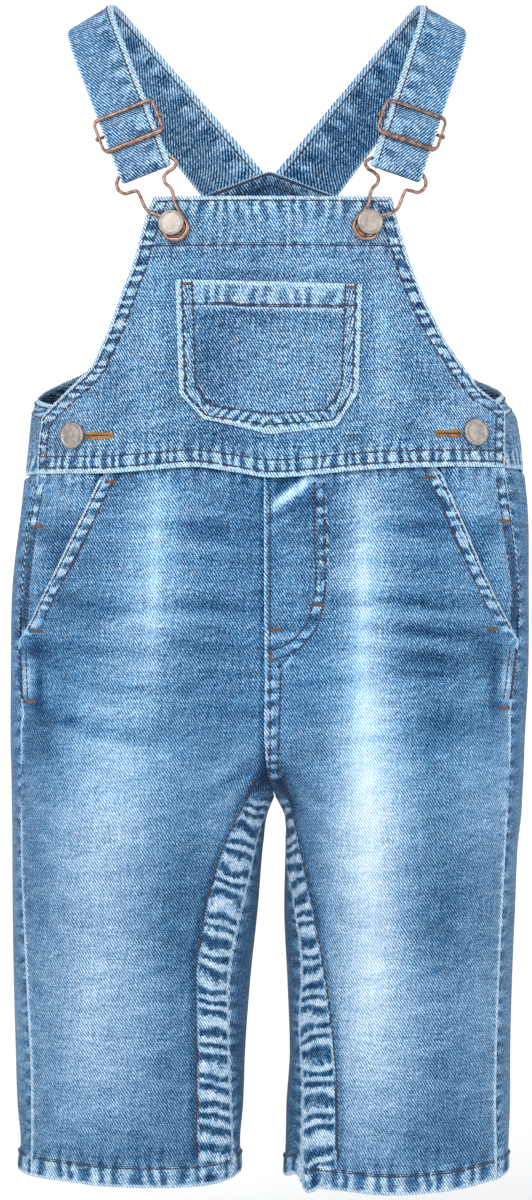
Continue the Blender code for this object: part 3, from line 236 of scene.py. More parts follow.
def bump(x, z, marks):
    # sum of leaning bumps, depth exp(-(run/reach)^2 - (cross/width)^2): across, height, half
    # length, half width, lean, amount
    total = np.zeros(np.shape(x))
    for atX, atZ, reach, width, leanBy, amount in marks:
        lean = math.radians(leanBy)
        run = (x - atX) * math.cos(lean) + (z - atZ) * math.sin(lean)
        cross = (z - atZ) * math.cos(lean) - (x - atX) * math.sin(lean)
        total = total + amount * np.exp(-((run / reach) ** 2) - (cross / width) ** 2)
    return total


def halfForm(side, turn, height):
    # one half: the trunk's ring blended into the leg's ring; turn 90 is the front, -90 the back
    sign = sideSign[side]
    turn = np.asarray(turn, float)
    height = np.asarray(height, float) + 0 * turn
    seam = curve(centreSeam, height)
    leg = curve(innerLeg[side], height)
    inner = np.where(height >= body["crotch"], seam, leg) + sign * body["gap"] * 0.7
    seamTurn = trunkTurn(inner, height)
    way = np.abs(turn) / 180
    frontTurn = sign * 90 * (1 - way) + seamTurn * way
    backTurn = sign * 90 * (1 + way) - seamTurn * way
    ring = trunk(np.where(turn > 0, frontTurn, backTurn), height)
    outer = curve(levels[side], height, 1)
    front = curve(levels[side], height, 2)
    back = curve(levels[side], height, 3)
    angle = np.radians(turn)
    line = curve(legLine[side], height)
    flat = 2 / body["legPower"]
    legX = (outer + line) / 2 + (outer - line) / 2 * signedPower(np.cos(angle), flat)
    legX = legX + (inner - line) * smooth((np.abs(turn) - 115) / 65)
    legY = -np.where(np.sin(angle) > 0, front, back) * signedPower(np.sin(angle), flat)
    share = legShare(turn, height)[..., None]
    return ring * (1 - share) + np.stack([legX, legY, height], axis=-1) * share


def riseStep(height, step):
    # a height one step further down, in steps that stay even round the crotch's quarter ellipse
    quarter = math.pi / 2
    inside = np.clip((body["split"] - height) / riseDrop, 0.0, 1.0)
    place = np.where(
        height >= body["split"],
        (body["split"] - height) / riseDrop,
        np.where(
            height <= body["crotch"] - 0.01,
            quarter + (body["crotch"] - height) / riseDrop,
            np.minimum(np.arcsin(inside), quarter - 0.12),
        ),
    )
    moved = place + step
    return np.where(
        moved < 0,
        body["split"] - moved * riseDrop,
        np.where(
            moved > quarter,
            body["crotch"] - (moved - quarter) * riseDrop,
            body["split"] - riseDrop * np.sin(np.clip(moved, 0, quarter)),
        ),
    )


def halfNormal(side, turn, height):
    base = riseStep(height, 0.0)
    down = halfForm(side, turn, riseStep(base, 0.06)) - halfForm(side, turn, riseStep(base, -0.06))
    roundIt = halfForm(side, turn + 0.5, base) - halfForm(side, turn - 0.5, base)
    return unit(np.cross(down, roundIt) * -sideSign[side])


def halfBase(side, turn, height):
    # the half with its waist dip and hem line, not yet lifted
    points = halfForm(side, turn, height)
    x = points[..., 0]
    waist = (curve(waistLine, x) - body["waist"]) * smooth((height + 300) / 50)
    drops = hemLine[side]
    way = np.abs(turn) / 180
    behind = drops[-1][1] * (1 - way) + drops[0][1] * way
    behind = behind - 1.6 * np.sin(np.radians(turn)) ** 2
    hem = np.where(turn > 0, curve(drops, x * sideSign[side]), behind)
    points[..., 2] += np.where(turn > 0, waist, 0) + hem * smooth((-570 - height) / 36)
    return points


def turnAt(side, height, across, low, high):
    # the turn, between two turns, where each height's ring is that far across
    turns = np.linspace(low, high, 181)
    found = []
    for level, target in zip(height, across):
        x = halfForm(side, turns, np.full(turns.shape, level))[:, 0] * sideSign[side]
        found.append(np.interp(-target * sideSign[side], -x, turns))
    return np.array(found)


def shiftTurn(side, height, turn, distance):
    # a turn moved round the ring by a distance in millimetres
    ahead = halfForm(side, turn + 0.5, height)
    behind = halfForm(side, turn - 0.5, height)
    return turn + distance / np.maximum(np.linalg.norm(ahead - behind, axis=-1), 0.2)


def rope(cycles, seed):
    # uneven wave of the puckers beside a seam
    p = 2 * math.pi * cycles
    return np.sin(p + 0.9 * np.sin(0.37 * p + seed) + 0.5 * np.sin(0.173 * p + 2 * seed))


def streak(x, z, table):
    # long pale streak, partly bleached wear and partly painted highlight: rows give height,
    # middle, half width and amount
    return curve(table, z, 3) * bell(x - curve(table, z, 1), curve(table, z, 2))


# Cloth pieces: closed shells between two grids of points
nearEdge = np.array([0.0, 0.35, 0.9, 1.7, 2.8])


def rim(distance):
    # how far an edge's skin rounds over, by distance from the edge
    return 0.45 * (1 - smooth(distance / 1.3))


def spread(total, count):
    # places across a row of that length: close together at both ends, even between
    total = np.asarray(total, float)[..., None]
    ways = np.linspace(0, 1, count)[1:-1]
    middle = nearEdge[-1] + (total - 2 * nearEdge[-1]) * ways
    start = np.broadcast_to(nearEdge, total.shape[:-1] + nearEdge.shape)
    return np.concatenate([start, middle, total - nearEdge[::-1]], axis=-1)


def rowPlaces(form, start, end, count):
    # turn of each column, its distance from the row's start, and the row's length
    ways = np.linspace(0, 1, 301)
    sample = start[:, None] * (1 - ways) + end[:, None] * ways
    steps = np.linalg.norm(np.diff(form(sample), axis=1), axis=-1)
    run = np.concatenate([np.zeros((len(start), 1)), np.cumsum(steps, axis=1)], axis=1)
    places = spread(run[:, -1], count)
    turns = np.stack([np.interp(places[j], run[j], sample[j]) for j in range(len(start))])
    return turns, places, run, sample


def distanceTo(u, v, line):
    # shortest distance in the cut between each grid point and a line of points
    line = np.asarray(line, float)
    flat = np.stack([u.ravel(), v.ravel()], axis=1)
    best = np.full(len(flat), 1e9)
    for a, b in zip(line[:-1], line[1:]):
        way = b - a
        t = np.clip(((flat - a) @ way) / max(way @ way, 1e-9), 0, 1)
        gap = np.hypot(*(flat - a - t[:, None] * way).T)
        best = np.minimum(best, gap)
    return best.reshape(u.shape)


def addMesh(name, points, faces, slots):
    mesh = bpy.data.meshes.new(name)
    mesh.from_pydata(points.tolist(), [], faces)
    mesh.polygons.foreach_set("material_index", np.asarray(slots, np.int32))
    mesh.shade_smooth()
    piece = bpy.data.objects.new(name, mesh)
    bpy.context.scene.collection.objects.link(piece)
    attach(piece, "root")
    return piece


def gridFaces(rows, columns, first, flip):
    # four-sided faces of a grid of points that starts at a given index
    index = np.arange(rows * columns).reshape(rows, columns) + first
    quads = [index[:-1, :-1], index[:-1, 1:], index[1:, 1:], index[1:, :-1]]
    quads = np.stack(quads[::-1] if flip else quads, axis=-1)
    return quads.reshape(-1, 4)


def clothPiece(name, outer, inner, looks, skins):
    # looks: named grids that the denim reads; the wall is closed round its whole border
    rows, columns = outer.shape[:2]
    cross = np.cross(outer[1:, :-1] - outer[:-1, :-1], outer[:-1, 1:] - outer[:-1, :-1])
    outward = outer[:-1, :-1] - inner[:-1, :-1]
    flip = np.sum(cross * outward) > 0
    skin = gridFaces(rows, columns, 0, flip)
    back = gridFaces(rows, columns, rows * columns, not flip)
    index = np.arange(rows * columns).reshape(rows, columns)
    loop = np.concatenate([index[0], index[1:, -1], index[-1, -2::-1], index[-2:0:-1, 0]])
    ahead = np.roll(loop, -1)
    base = rows * columns
    side = np.stack([ahead, loop, base + loop, base + ahead], axis=-1)
    side = side[:, ::-1] if flip else side
    faces = np.concatenate([skin, back, side])
    slots = np.concatenate([np.zeros(len(skin)), np.ones(len(back)), np.zeros(len(side))])
    points = np.concatenate([outer.reshape(-1, 3), inner.reshape(-1, 3)]) * mm
    piece = addMesh(name, points, faces.tolist(), slots)
    for skinMaterial in skins:
        piece.data.materials.append(skinMaterial)
    for label, grid in looks.items():
        layer = piece.data.attributes.new(label, "FLOAT_VECTOR", "POINT")
        flat = np.concatenate([grid.reshape(-1, 3)] * 2)
        layer.data.foreach_set("vector", flat.astype(np.float32).ravel())
    return piece


def looksOf(u, v, fadeAndShade, gap, bandUp, bandAcross, ropeUp, ropeAcross):
    # cut: place in the cut and tone, with its fading and painted shade; seams: edge distance and
    # pucker bands; ropes: their waves
    wide = np.ones(np.shape(u))
    return {
        "cut": np.stack([u, v * wide, fadeAndShade * wide], axis=-1),
        "seams": np.stack([gap * wide, bandUp * wide, bandAcross * wide], axis=-1),
        "ropes": np.stack([ropeUp * wide, ropeAcross * wide, 0 * wide], axis=-1),
    }


def gridNormals(outer, inner):
    # directions out of the cloth, away from its inner skin
    down = np.gradient(outer, axis=0)
    across = np.gradient(outer, axis=1)
    normal = unit(np.cross(down, across))
    away = np.sign(np.sum(normal * (outer - inner), axis=-1, keepdims=True))
    return normal * away


def layOn(panel, line):
    # points and directions on a panel at places (u, v) of its cut
    line = np.asarray(line, float)
    u, v, points, normals = panel["u"], panel["v"], panel["points"], panel["normals"]
    order = v[::-1]
    both = np.concatenate([points, normals], axis=-1)
    found = []
    for atU, atV in line:
        row = len(v) - 1 - np.interp(atV, order, np.arange(len(v)))
        low = int(min(max(math.floor(row), 0), len(v) - 2))
        part = row - low
        ends = []
        for j in (low, low + 1):
            ahead = u[j] if u[j, -1] > u[j, 0] else u[j, ::-1]
            rowData = both[j] if u[j, -1] > u[j, 0] else both[j, ::-1]
            ends.append([np.interp(atU, ahead, rowData[:, k]) for k in range(6)])
        found.append(np.array(ends[0]) * (1 - part) + np.array(ends[1]) * part)
    found = np.array(found)
    return found[:, :3], unit(found[:, 3:])


def castOn(panel, line):
    # points and directions on a panel where rays from the front meet it
    tree = panel.get("tree")
    if tree is None:
        data = panel["object"].data
        verts = np.empty(len(data.vertices) * 3)
        data.vertices.foreach_get("co", verts)
        faces = [tuple(face.vertices) for face in data.polygons]
        tree = BVHTree.FromPolygons([Vector(p) for p in verts.reshape(-1, 3)], faces)
        panel["tree"] = tree
    hits = [tree.ray_cast(Vector((x * mm, -1.0, z * mm)), Vector((0, 1, 0))) for x, z in line]
    hits = [hit for hit in hits if hit[0] is not None]
    return np.array([hit[0] for hit in hits]) / mm, np.array([hit[1] for hit in hits])


# Shader maths
class Wire:  # a node socket that adds Math nodes when it is used in an expression
    def __init__(self, tree, socket=None):
        self.tree = tree
        self.socket = socket

    def node(self, kind, values=None, settings=None, out=0):
        made = self.tree.nodes.new(kind)
        for key, value in (settings or {}).items():
            if key == "stops":
                ramp = made.color_ramp
                while len(ramp.elements) < len(value):
                    ramp.elements.new(0.5)
                for stop, (place, colour) in zip(ramp.elements, value):
                    stop.position = place
                    stop.color = colour
            else:
                setattr(made, key, value)
        self.fill(made, values or {})
        return Wire(self.tree, made.outputs[out])

    def fill(self, made, values):
        # links or sets the sockets of a node
        for key, value in values.items():
            if isinstance(value, Wire):
                self.tree.links.new(value.socket, made.inputs[key])
            else:
                made.inputs[key].default_value = value

    def maths(self, operation, first, second=0.0):
        return self.node("ShaderNodeMath", {0: first, 1: second}, {"operation": operation})

    def __add__(self, other):
        return self.maths("ADD", self, other)

    __radd__ = __add__

    def __sub__(self, other):
        return self.maths("SUBTRACT", self, other)

    def __rsub__(self, other):
        return self.maths("SUBTRACT", other, self)

    def __mul__(self, other):
        return self.maths("MULTIPLY", self, other)

    __rmul__ = __mul__

    def sine(self):
        return self.maths("SINE", self)

    def ease(self, low, high, bottom=0.0, top=1.0):
        values = {0: self, 1: low, 2: high, 3: bottom, 4: top}
        return self.node("ShaderNodeMapRange", values, {"interpolation_type": "SMOOTHSTEP"})

    def toward(self, other, share):
        return self + (other - self) * share

    def split(self):
        parts = self.tree.nodes.new("ShaderNodeSeparateXYZ")
        self.tree.links.new(self.socket, parts.inputs[0])
        return [Wire(self.tree, parts.outputs[k]) for k in range(3)]

    def joined(self, x, y, z=0.0):
        return self.node("ShaderNodeCombineXYZ", {0: x, 1: y, 2: z})

    def cloud(self, x, y, z=0.0, detail=1.0, roughness=0.5):
        # noise from -0.5 to 0.5
        values = {"Vector": self.joined(x, y, z), "Scale": 1.0, "Detail": detail,
                  "Roughness": roughness}
        return self.node("ShaderNodeTexNoise", values, {"noise_dimensions": "3D"}) - 0.5

    def attribute(self, label):
        return self.node("ShaderNodeAttribute", {}, {"attribute_name": label}, 1)

    def place(self):
        # Object coordinates
        return self.node("ShaderNodeTexCoord", out=3).split()

    def mix(self, share, first, second, blend="MIX"):
        values = {0: share, 6: first, 7: second}
        return self.node("ShaderNodeMix", values, {"data_type": "RGBA", "blend_type": blend}, 2)

    def bumped(self, height, strength, depth):
        values = {"Strength": strength, "Distance": depth, "Height": height}
        return self.node("ShaderNodeBump", values)


def linear(colour):
    # screen colour to linear light, with an alpha of 1
    return (*(c / 12.92 if c <= 0.04045 else ((c + 0.055) / 1.055) ** 2.4 for c in colour), 1.0)


def newMaterial(name):
    material = bpy.data.materials.new(name)
    material.use_nodes = True
    tree = material.node_tree
    return material, Wire(tree), tree.nodes["Principled BSDF"]


# Washed denim. Stops run from deep indigo to bleached, by lightness. Each noise gives its rate
# across and up the cut, its own shift and its detail. A "by height" row gives two heights in
# millimetres and the value below and above them.
denimLook = {
    "stops": [
        (0.10, (0.0, 0.13, 0.26)), (0.20, (0.03, 0.195, 0.345)), (0.34, (0.14, 0.34, 0.51)),
        (0.48, (0.295, 0.485, 0.64)), (0.62, (0.465, 0.625, 0.76)), (0.76, (0.64, 0.767, 0.88)),
        (0.90, (0.812, 0.898, 0.972)), (0.97, (0.908, 0.966, 0.992)),
    ],
    "lean": 58, "pitch": 1.25,
    "speck": (1.9, 1.9, 5, 0), "warp": (1.6, 0.05, 7, 0), "weft": (0.08, 1.5, 9, 0),
    "small": (0.11, 0.14, 11, 1), "large": (0.022, 0.016, 13, 2), "whisker": (0.018, 0.17, 21, 1),
    "ragged": (0.42, 0.42, 17, 2, 0.65), "drift": (0.07, 0.07, 19, 0),
    "uneven": (0.16, 0.16, 23, 1),
    "legGrain": (-400, -290, 0.62, 0.80), "bibGrain": (-255, -240, 0.0, 0.26),
    "hipWhisker": (-420, -350, 0.10, 0.20), "bibWhisker": (-262, -240, 1.0, 0.5),
    "cloudy": (-430, -380, 0.27, 0.17), "hipShade": (-400, -330, 0.0, 0.03),
    "bibShade": (-255, -240, 0.0, 0.03), "blueByHeight": (-450, -330, 0.3, 1.0),
    "warmByHeight": (-450, -340, 1.0, 0.0),
    "bluer": (0.85, 1.0, 1.06, 1.0), "warmer": (1.09, 1.0, 0.955, 1.0),
    "bar": (0.20, 0.76), "wornEdge": 0.78,
}


def makeDenim(name, seed=0.0, offset=0.0, contrast=1.0, greyer=0.0):
    look = denimLook
    material, wire, shader = newMaterial(name)
    u, v, fadeAndShade = wire.attribute("cut").split()
    gap, bandUp, bandAcross = wire.attribute("seams").split()
    ropeUp, ropeAcross, _ = wire.attribute("ropes").split()

    def patches(kind):
        across, up, shift, *rest = look[kind]
        return wire.cloud(u * across, v * up, seed + shift, *rest)

    # twill: leaning lines, broken up by noise stretched along them
    lean = math.radians(look["lean"])
    over = u * math.sin(lean) + v * math.cos(lean)
    along = v * math.sin(lean) - u * math.cos(lean)
    wander = wire.cloud(u * 0.05, v * 0.05, seed, 0.0)
    twill = (over * (2 * math.pi / look["pitch"]) + wander * 6.0).sine()
    yarn = wire.cloud(over * 1.7, along * 0.5, seed + 3.0, 0.0)
    speck, warp, weft, small, large = map(patches, ("speck", "warp", "weft", "small", "large"))
    grain = yarn * 0.7 + speck * 0.75 + twill * 0.28 + warp * 0.24 + weft * 0.3
    strength = v.ease(*look["legGrain"]) + v.ease(*look["bibGrain"])
    strength = strength * fadeAndShade.ease(0.66, 0.95, 1.0, 0.5) * contrast
    # streaks across the hips, stretched sideways
    whisker = patches("whisker") * v.ease(*look["hipWhisker"]) * v.ease(*look["bibWhisker"])
    tone = fadeAndShade + (offset - 0.05) + small * 0.16 + whisker
    tone = tone + large * v.ease(*look["cloudy"])
    tone = tone - v.ease(*look["hipShade"]) - v.ease(*look["bibShade"])
    # puckers: dark hollows and worn ridges across each stitched band
    ragged, drift, uneven = map(patches, ("ragged", "drift", "uneven"))
    for cycles, band, shift in ((ropeUp, bandUp, 1.0), (ropeAcross, bandAcross, 2.0)):
        p = cycles * (2 * math.pi)
        wave = p + (p * 0.37 + shift).sine() * 0.9 + (p * 0.173 + 2 * shift).sine() * 0.5
        wave = (wave + drift * 6.0 + ragged * 2.2).sine()
        bar = (wave + ragged * 3.0 + uneven * 1.2 + 0.1).ease(-1.0, 1.0, *look["bar"])
        tone = tone.toward(bar + uneven * 0.4 + offset * 0.5, band)
    worn = (gap + ragged * 1.6).ease(2.6, 1.1)
    tone = tone.toward(look["wornEdge"] + ragged * 0.2 + offset * 0.5, worn * 0.85)
    stops = []
    for place, colour in look["stops"]:
        grey = sum(colour) / 3
        stops.append((place, linear([c + (grey - c) * greyer for c in colour])))
    shade = tone + grain * strength
    colour = wire.node("ShaderNodeValToRGB", {0: shade}, {"stops": stops})
    # patches where the dye keeps a little more blue, fewer on the lower legs, which are warmer
    bluer = wire.mix(1.0, colour, look["bluer"], "MULTIPLY")
    share = (large + small).ease(-0.2, 0.2) * v.ease(*look["blueByHeight"])
    dyed = wire.mix(share, colour, bluer)
    dyed = wire.mix(v.ease(*look["warmByHeight"]), dyed, look["warmer"], "MULTIPLY")
    height = yarn * 0.3 + speck * 0.2 + twill * 0.16 + weft * 0.12
    wire.fill(shader, {
        "Base Color": dyed, "Normal": wire.bumped(height, 0.5, 0.00018), "Roughness": 0.92,
        "Specular IOR Level": 0.18, "Sheen Weight": 0.06, "Sheen Roughness": 0.6,
    })
    return material


def makeMetal(name, colour, tarnish, roughness):
    material, wire, shader = newMaterial(name)
    x, y, z = wire.place()
    patch = wire.cloud(x * 420, y * 420, z * 420, 3.0)
    fine = wire.cloud(x * 2600, y * 2600, z * 2600, 2.0)
    share = (patch + fine * 0.5).ease(-0.22, 0.28)
    wire.fill(shader, {
        "Base Color": wire.mix(share, linear(tarnish), linear(colour)),
        "Roughness": patch * 0.25 + roughness, "Normal": wire.bumped(fine, 0.35, 0.00008),
        "Metallic": 1.0,
    })
    return material


def makeThread(name, colour, pale):
    material, wire, shader = newMaterial(name)
    x, y, z = wire.place()
    patch = wire.cloud(x * 260, y * 260, z * 260, 2.0)
    ply = (x * 5200 + z * 5200 + y * 2000).sine()
    share = (patch + ply * 0.12).ease(-0.3, 0.3)
    wire.fill(shader, {
        "Base Color": wire.mix(share, linear(colour), linear(pale)),
        "Normal": wire.bumped(ply, 0.5, 0.0001), "Roughness": 0.7,
    })
    return material


denim = makeDenim("washed denim", 0.0)
denimBack = makeDenim("back denim", 20.0)
# inside faces: greyer, as the cloth's inner side is, and darker by painted shade
denimInside = makeDenim("inside denim", 40.0, -0.20, 0.8, 0.15)
strapDenim = makeDenim("strap denim", 60.0)
strapUnder = {
    "R": makeDenim("strap underside denim", 80.0, 0.0),
    # the left strap's underside is made darker: painted shade
    "L": makeDenim("darker underside denim", 90.0, -0.11),
}
denimFacing = makeDenim("facing denim", 100.0, 0.0)
copper = makeMetal("copper wire", (0.74, 0.60, 0.54), (0.46, 0.35, 0.31), 0.30)
nickel = makeMetal("nickel cap", (0.72, 0.69, 0.665), (0.60, 0.565, 0.535), 0.46)
brownThread = makeThread("brown thread", (0.17, 0.15, 0.22), (0.32, 0.265, 0.32))
tackThread = makeThread("tack thread", (0.33, 0.235, 0.215), (0.53, 0.39, 0.31))
goldThread = makeThread("gold thread", (0.46, 0.30, 0.12), (0.74, 0.53, 0.27))
seamShadow = makeThread("seam shadow", (0.10, 0.17, 0.30), (0.19, 0.30, 0.45))
print("materials made")


panels = {}  # what the stitching needs of each cloth piece, by the node that it replaces


def makePanel(name, outer, inner, looks, skins, u, v, upward=False):
    # a cloth piece in place of the solid of that name; its rows are kept from the top down
    piece = clothPiece(name + "_cloth", outer, inner, looks, skins)
    if upward:
        u, v, outer, inner = u[::-1], v[::-1], outer[::-1], inner[::-1]
    panels[name] = {
        "object": piece, "u": u, "v": v, "points": outer, "normals": gridNormals(outer, inner),
        "back": inner,
    }
    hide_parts(name)


def offsetLine(border, distance, turn):
    # a border's line moved inward by a distance, without the loops at its corners
    way = unit(np.gradient(border, axis=0))
    moved = border + np.stack([-way[:, 1], way[:, 0]], axis=1) * distance * turn
    near = distanceTo(moved[:, 0], moved[:, 1], border)
    return moved[near > distance - 0.12]


# Legs
leg = {
    "columns": 78, "backColumns": 92, "facingColumns": 34, "ropePitch": 7.6, "hemPitch": 8.2,
    "plumb": {"R": -74.0, "L": 67.0}, "shade": 0.522, "backShade": 0.47, "facingShade": 0.55,
    "hemBand": 0.62, "aboveHem": 0.4, "belowWaist": 0.28, "mouthRise": 0.35, "seamRidge": 0.40,
    # at the centre seam: how far the edge's paleness is held back, and how dark its shadow is
    "centre": {"R": (2.0, 0.16), "L": (0.9, 0.04)}, "press": 0.28, "facingFoot": -348.0,
    "facingDepth": 2.2,
    "streak": {
        "R": [(-640, -86, 26, 0.02), (-585, -88, 26, 0.05), (-550, -88, 24, 0.12),
              (-510, -88, 24, 0.17), (-430, -84, 24, 0.18), (-370, -76, 24, 0.16),
              (-320, -63, 19, 0.2), (-280, -58, 16, 0.2), (-240, -56, 18, 0.14)],
        "L": [(-640, 52, 24, 0.03), (-600, 52, 22, 0.07), (-555, 52, 20, 0.18),
              (-515, 52, 19, 0.29), (-440, 50, 18, 0.32), (-370, 50, 18, 0.29),
              (-345, 49, 15, 0.28), (-280, 49, 14, 0.27), (-240, 46, 17, 0.13)],
    },
    "fadeAndShade": {
        "R": [(-8, -262, 26, 14, 90, -0.06), (-20, -330, 90, 20, 90, -0.02),
              (-45, -480, 70, 18, 90, -0.09), (-116, -420, 120, 12, 90, -0.03),
              (-58, -290, 46, 3.2, 88, 0.13), (-60, -345, 26, 5, 88, 0.06),
              (-34, -275, 21, 4.5, -8, -0.14), (-34, -291, 24, 3, -3, -0.07),
              (-34, -283, 20, 3, -5, 0.04), (-84, -315, 20, 3.8, -7, -0.13),
              (-33, -314, 26, 3.8, -2, -0.12), (-34, -322, 24, 4, -1, 0.06),
              (-78, -324, 24, 3.5, 2, 0.06), (-78, -337, 25, 3.6, 3, -0.09),
              (-33, -335, 27, 4, -2, -0.09), (-34, -346, 24, 4, 0, 0.05),
              (-60, -356, 30, 3.6, 4, -0.05), (-88, -376, 30, 4.6, -12, -0.12),
              (-62, -381, 16, 4, 8, -0.07), (-84, -386, 26, 5, -14, 0.06),
              (-18, -370, 15, 8, 0, -0.07), (-118, -378, 12, 16, 0, -0.12),
              (-119, -334, 7, 5, 0, -0.16), (-112, -341, 12, 3, -34, -0.09),
              (-106, -334, 10, 2.4, 10, -0.1), (-76, -250, 7, 7, 0, -0.13),
              (-46, -251, 14, 3, 0, -0.08), (-24, -252, 9, 3.4, 0, 0.07),
              (-90, -262, 12, 6, 50, 0.06), (-80, -590, 40, 14, 0, -0.08),
              (-124.5, -352, 2.6, 11, 0, 0.34), (-117.5, -354, 2.2, 11, 0, -0.24),
              (-121, -338, 5, 4, 0, -0.12), (-120, -364, 8, 3, 0, -0.16),
              # rows from (-1, -404) to (-22, -396): painted shade in the crotch's folds, with pale
              # ridges
              (-1, -404, 7, 6, 80, -0.26), (-5, -403, 14, 3.2, 62, -0.24),
              (-12, -411, 12, 2.6, 48, -0.2), (-8, -407, 12, 1.8, 55, 0.22),
              (-3, -392, 12, 2.6, 86, -0.14), (-16, -400, 18, 3, 42, -0.12),
              (-22, -396, 18, 2.4, 34, 0.08), (-29, -281, 19, 1.3, -6, -0.12),
              (-88, -320, 12, 1.3, -10, -0.13), (-35, -325, 18, 1.3, -4, -0.12),
              (-31, -347, 19, 1.3, -6, -0.11), (-75, -355, 18, 1.2, -4, -0.11),
              (-97, -374, 18, 1.4, -19, -0.13)],
        "L": [(46, -281, 10, 1.3, 13, -0.13), (84, -279, 17, 1.3, -8, -0.13),
              (80, -314, 17, 1.3, -8, -0.12), (42, -313, 15, 1.3, 6, -0.1),
              (80, -328, 20, 1.3, -6, -0.11), (76, -348, 19, 1.3, -6, -0.12),
              (68, -383, 30, 1.4, -2, -0.11), (2, -285, 40, 12, 90, -0.03),
              (22, -470, 80, 8, 90, -0.04), (84, -420, 120, 12, 90, -0.06),
              (104, -380, 90, 9, 90, 0.04), (126, -420, 120, 7, 90, 0.1),
              (47, -300, 50, 4, 90, 0.12), (49, -385, 50, 8, 90, 0.07),
              (76, -274, 26, 3.6, 3, -0.12), (78, -283, 22, 3.4, 2, 0.05),
              (74, -292, 26, 3, -3, -0.06), (70, -311, 26, 3.8, -2, -0.15),
              (77, -318, 24, 3.2, -4, 0.07), (80, -326, 30, 3.4, -5, -0.09),
              (76, -333, 26, 3, -3, 0.06), (82, -341, 25, 4.2, -4, -0.14),
              (30, -281, 7, 8, 0, -0.1), (35, -298, 7, 9, 0, 0.08), (30, -331, 22, 4, -8, -0.08),
              (36, -342, 20, 3.6, 6, 0.05), (30, -353, 22, 4, 8, -0.07),
              (80, -357, 30, 4, 4, 0.05), (100, -374, 26, 4.6, -3, -0.12),
              (84, -385, 22, 3.6, 8, -0.07), (24, -366, 16, 5, 0, -0.07),
              (109, -334, 6, 8, 20, -0.16), (98, -326, 9, 3, -30, -0.09),
              (118, -343, 5, 5, 0, -0.12), (82, -257, 7, 12, 0, -0.13),
              (92, -251, 10, 4, 0, -0.08), (60, -251, 12, 3, 0, 0.06),
              (90, -470, 30, 12, 60, -0.05), (84, -585, 36, 14, 0, -0.08),
              (12, -252, 11, 6, 0, -0.15), (13, -268, 9, 7, 20, -0.11),
              (121.5, -351, 2.4, 10, 0, 0.34), (114.5, -353, 2.2, 11, 0, -0.22),
              (117, -336, 5, 5, 0, -0.1), (118, -365, 8, 3, 0, -0.16), (10, -300, 6, 14, 0, 0.06),
              # rows from (3, -404) to (3, -392): painted shade in the crotch's folds, with pale
              # ridges
              (3, -404, 7, 6, 80, -0.26), (5, -403, 14, 3, -64, -0.24),
              (10, -411, 12, 2.4, -58, -0.2), (8, -406, 12, 1.6, -60, 0.22),
              (14, -401, 14, 2.6, -44, -0.1), (3, -392, 12, 2.4, -88, -0.12)],
    },
    "crease": {
        "R": [(-66, -298, 34, 4.5, -5, -0.7), (-60, -308, 30, 5, -3, 0.5),
              (-58, -331, 32, 4.5, 4, -0.8), (-62, -341, 28, 5, 2, 0.5),
              (-50, -353, 28, 4, -6, -0.5), (-84, -343, 22, 5, 8, 0.5),
              (-96, -455, 30, 7, 72, 0.6), (-58, -440, 34, 8, 82, -0.6),
              (-74, -560, 26, 7, 78, 0.6), (-104, -565, 24, 6, -80, -0.6),
              (-44, -398, 20, 5, 52, -0.6), (-34, -386, 18, 5, 48, 0.5),
              (-7, -404, 12, 2.4, 58, -0.8), (-14, -409, 12, 2.4, 50, 0.5)],
        "L": [(76, -297, 32, 4.5, 5, -0.8), (72, -307, 28, 5, 3, 0.5),
              (82, -323, 32, 4.5, -4, -0.8), (78, -334, 30, 5, -2, 0.6),
              (72, -353, 28, 4, 6, -0.6), (28, -331, 20, 4, -8, -0.4),
              (88, -450, 34, 7, -76, -0.6), (34, -450, 36, 8, 86, -0.6),
              (70, -566, 26, 7, -80, 0.6), (100, -560, 24, 6, 80, -0.6),
              (34, -390, 20, 5, -50, -0.5), (44, -401, 18, 5, -46, 0.4),
              (9, -404, 12, 2.4, -60, -0.7), (14, -409, 12, 2.4, -54, 0.5)],
    },
    # below the waist, at the fly's side of the centre seam
    "flyCrease": [(11, -256, 14, 2.2, 33, 0.8), (13, -262, 14, 2.6, 33, -0.5)],
    "flyShade": [(8, -252, 9, 5, 20, -0.20), (27, -256, 9, 5, 80, -0.18),
                 (16, -264, 12, 4, 30, -0.10)],
    "flyWear": [(11, -257, 12.5, 2.3, 37, 1.7), (23, -249.8, 6, 2.4, 12, 0.8),
                (9, -270, 8, 2.0, 24, 0.4)],
    "facingFade": [(108, -285, 24, 7, 70, -0.13), (96, -262, 13, 9, 0, 0.10),
                   (118, -276, 7, 5, 0, -0.10)],
    "backStreak": {
        "R": [(-640, -78, 26, 0.02), (-550, -80, 24, 0.1), (-430, -78, 28, 0.15),
              (-340, -68, 34, 0.2), (-240, -58, 36, 0.08)],
        "L": [(-640, 74, 26, 0.02), (-550, 76, 26, 0.11), (-430, 74, 28, 0.16),
              (-340, 66, 34, 0.2), (-240, 56, 36, 0.08)],
    },
    "backFade": {
        "R": [(-96, -402, 34, 6, -14, -0.1), (-70, -412, 34, 6, -8, 0.06),
              (-60, -500, 30, 6, 6, -0.08), (-80, -512, 30, 5, -4, 0.06),
              (-40, -388, 26, 5, 24, -0.08), (-84, -590, 40, 14, 0, -0.06)],
        "L": [(92, -398, 34, 6, 12, -0.1), (70, -409, 34, 6, 8, 0.06),
              (66, -494, 30, 6, -6, -0.08), (84, -506, 30, 5, 4, 0.06),
              (40, -386, 26, 5, -24, -0.08), (84, -590, 40, 14, 0, -0.06)],
    },
}


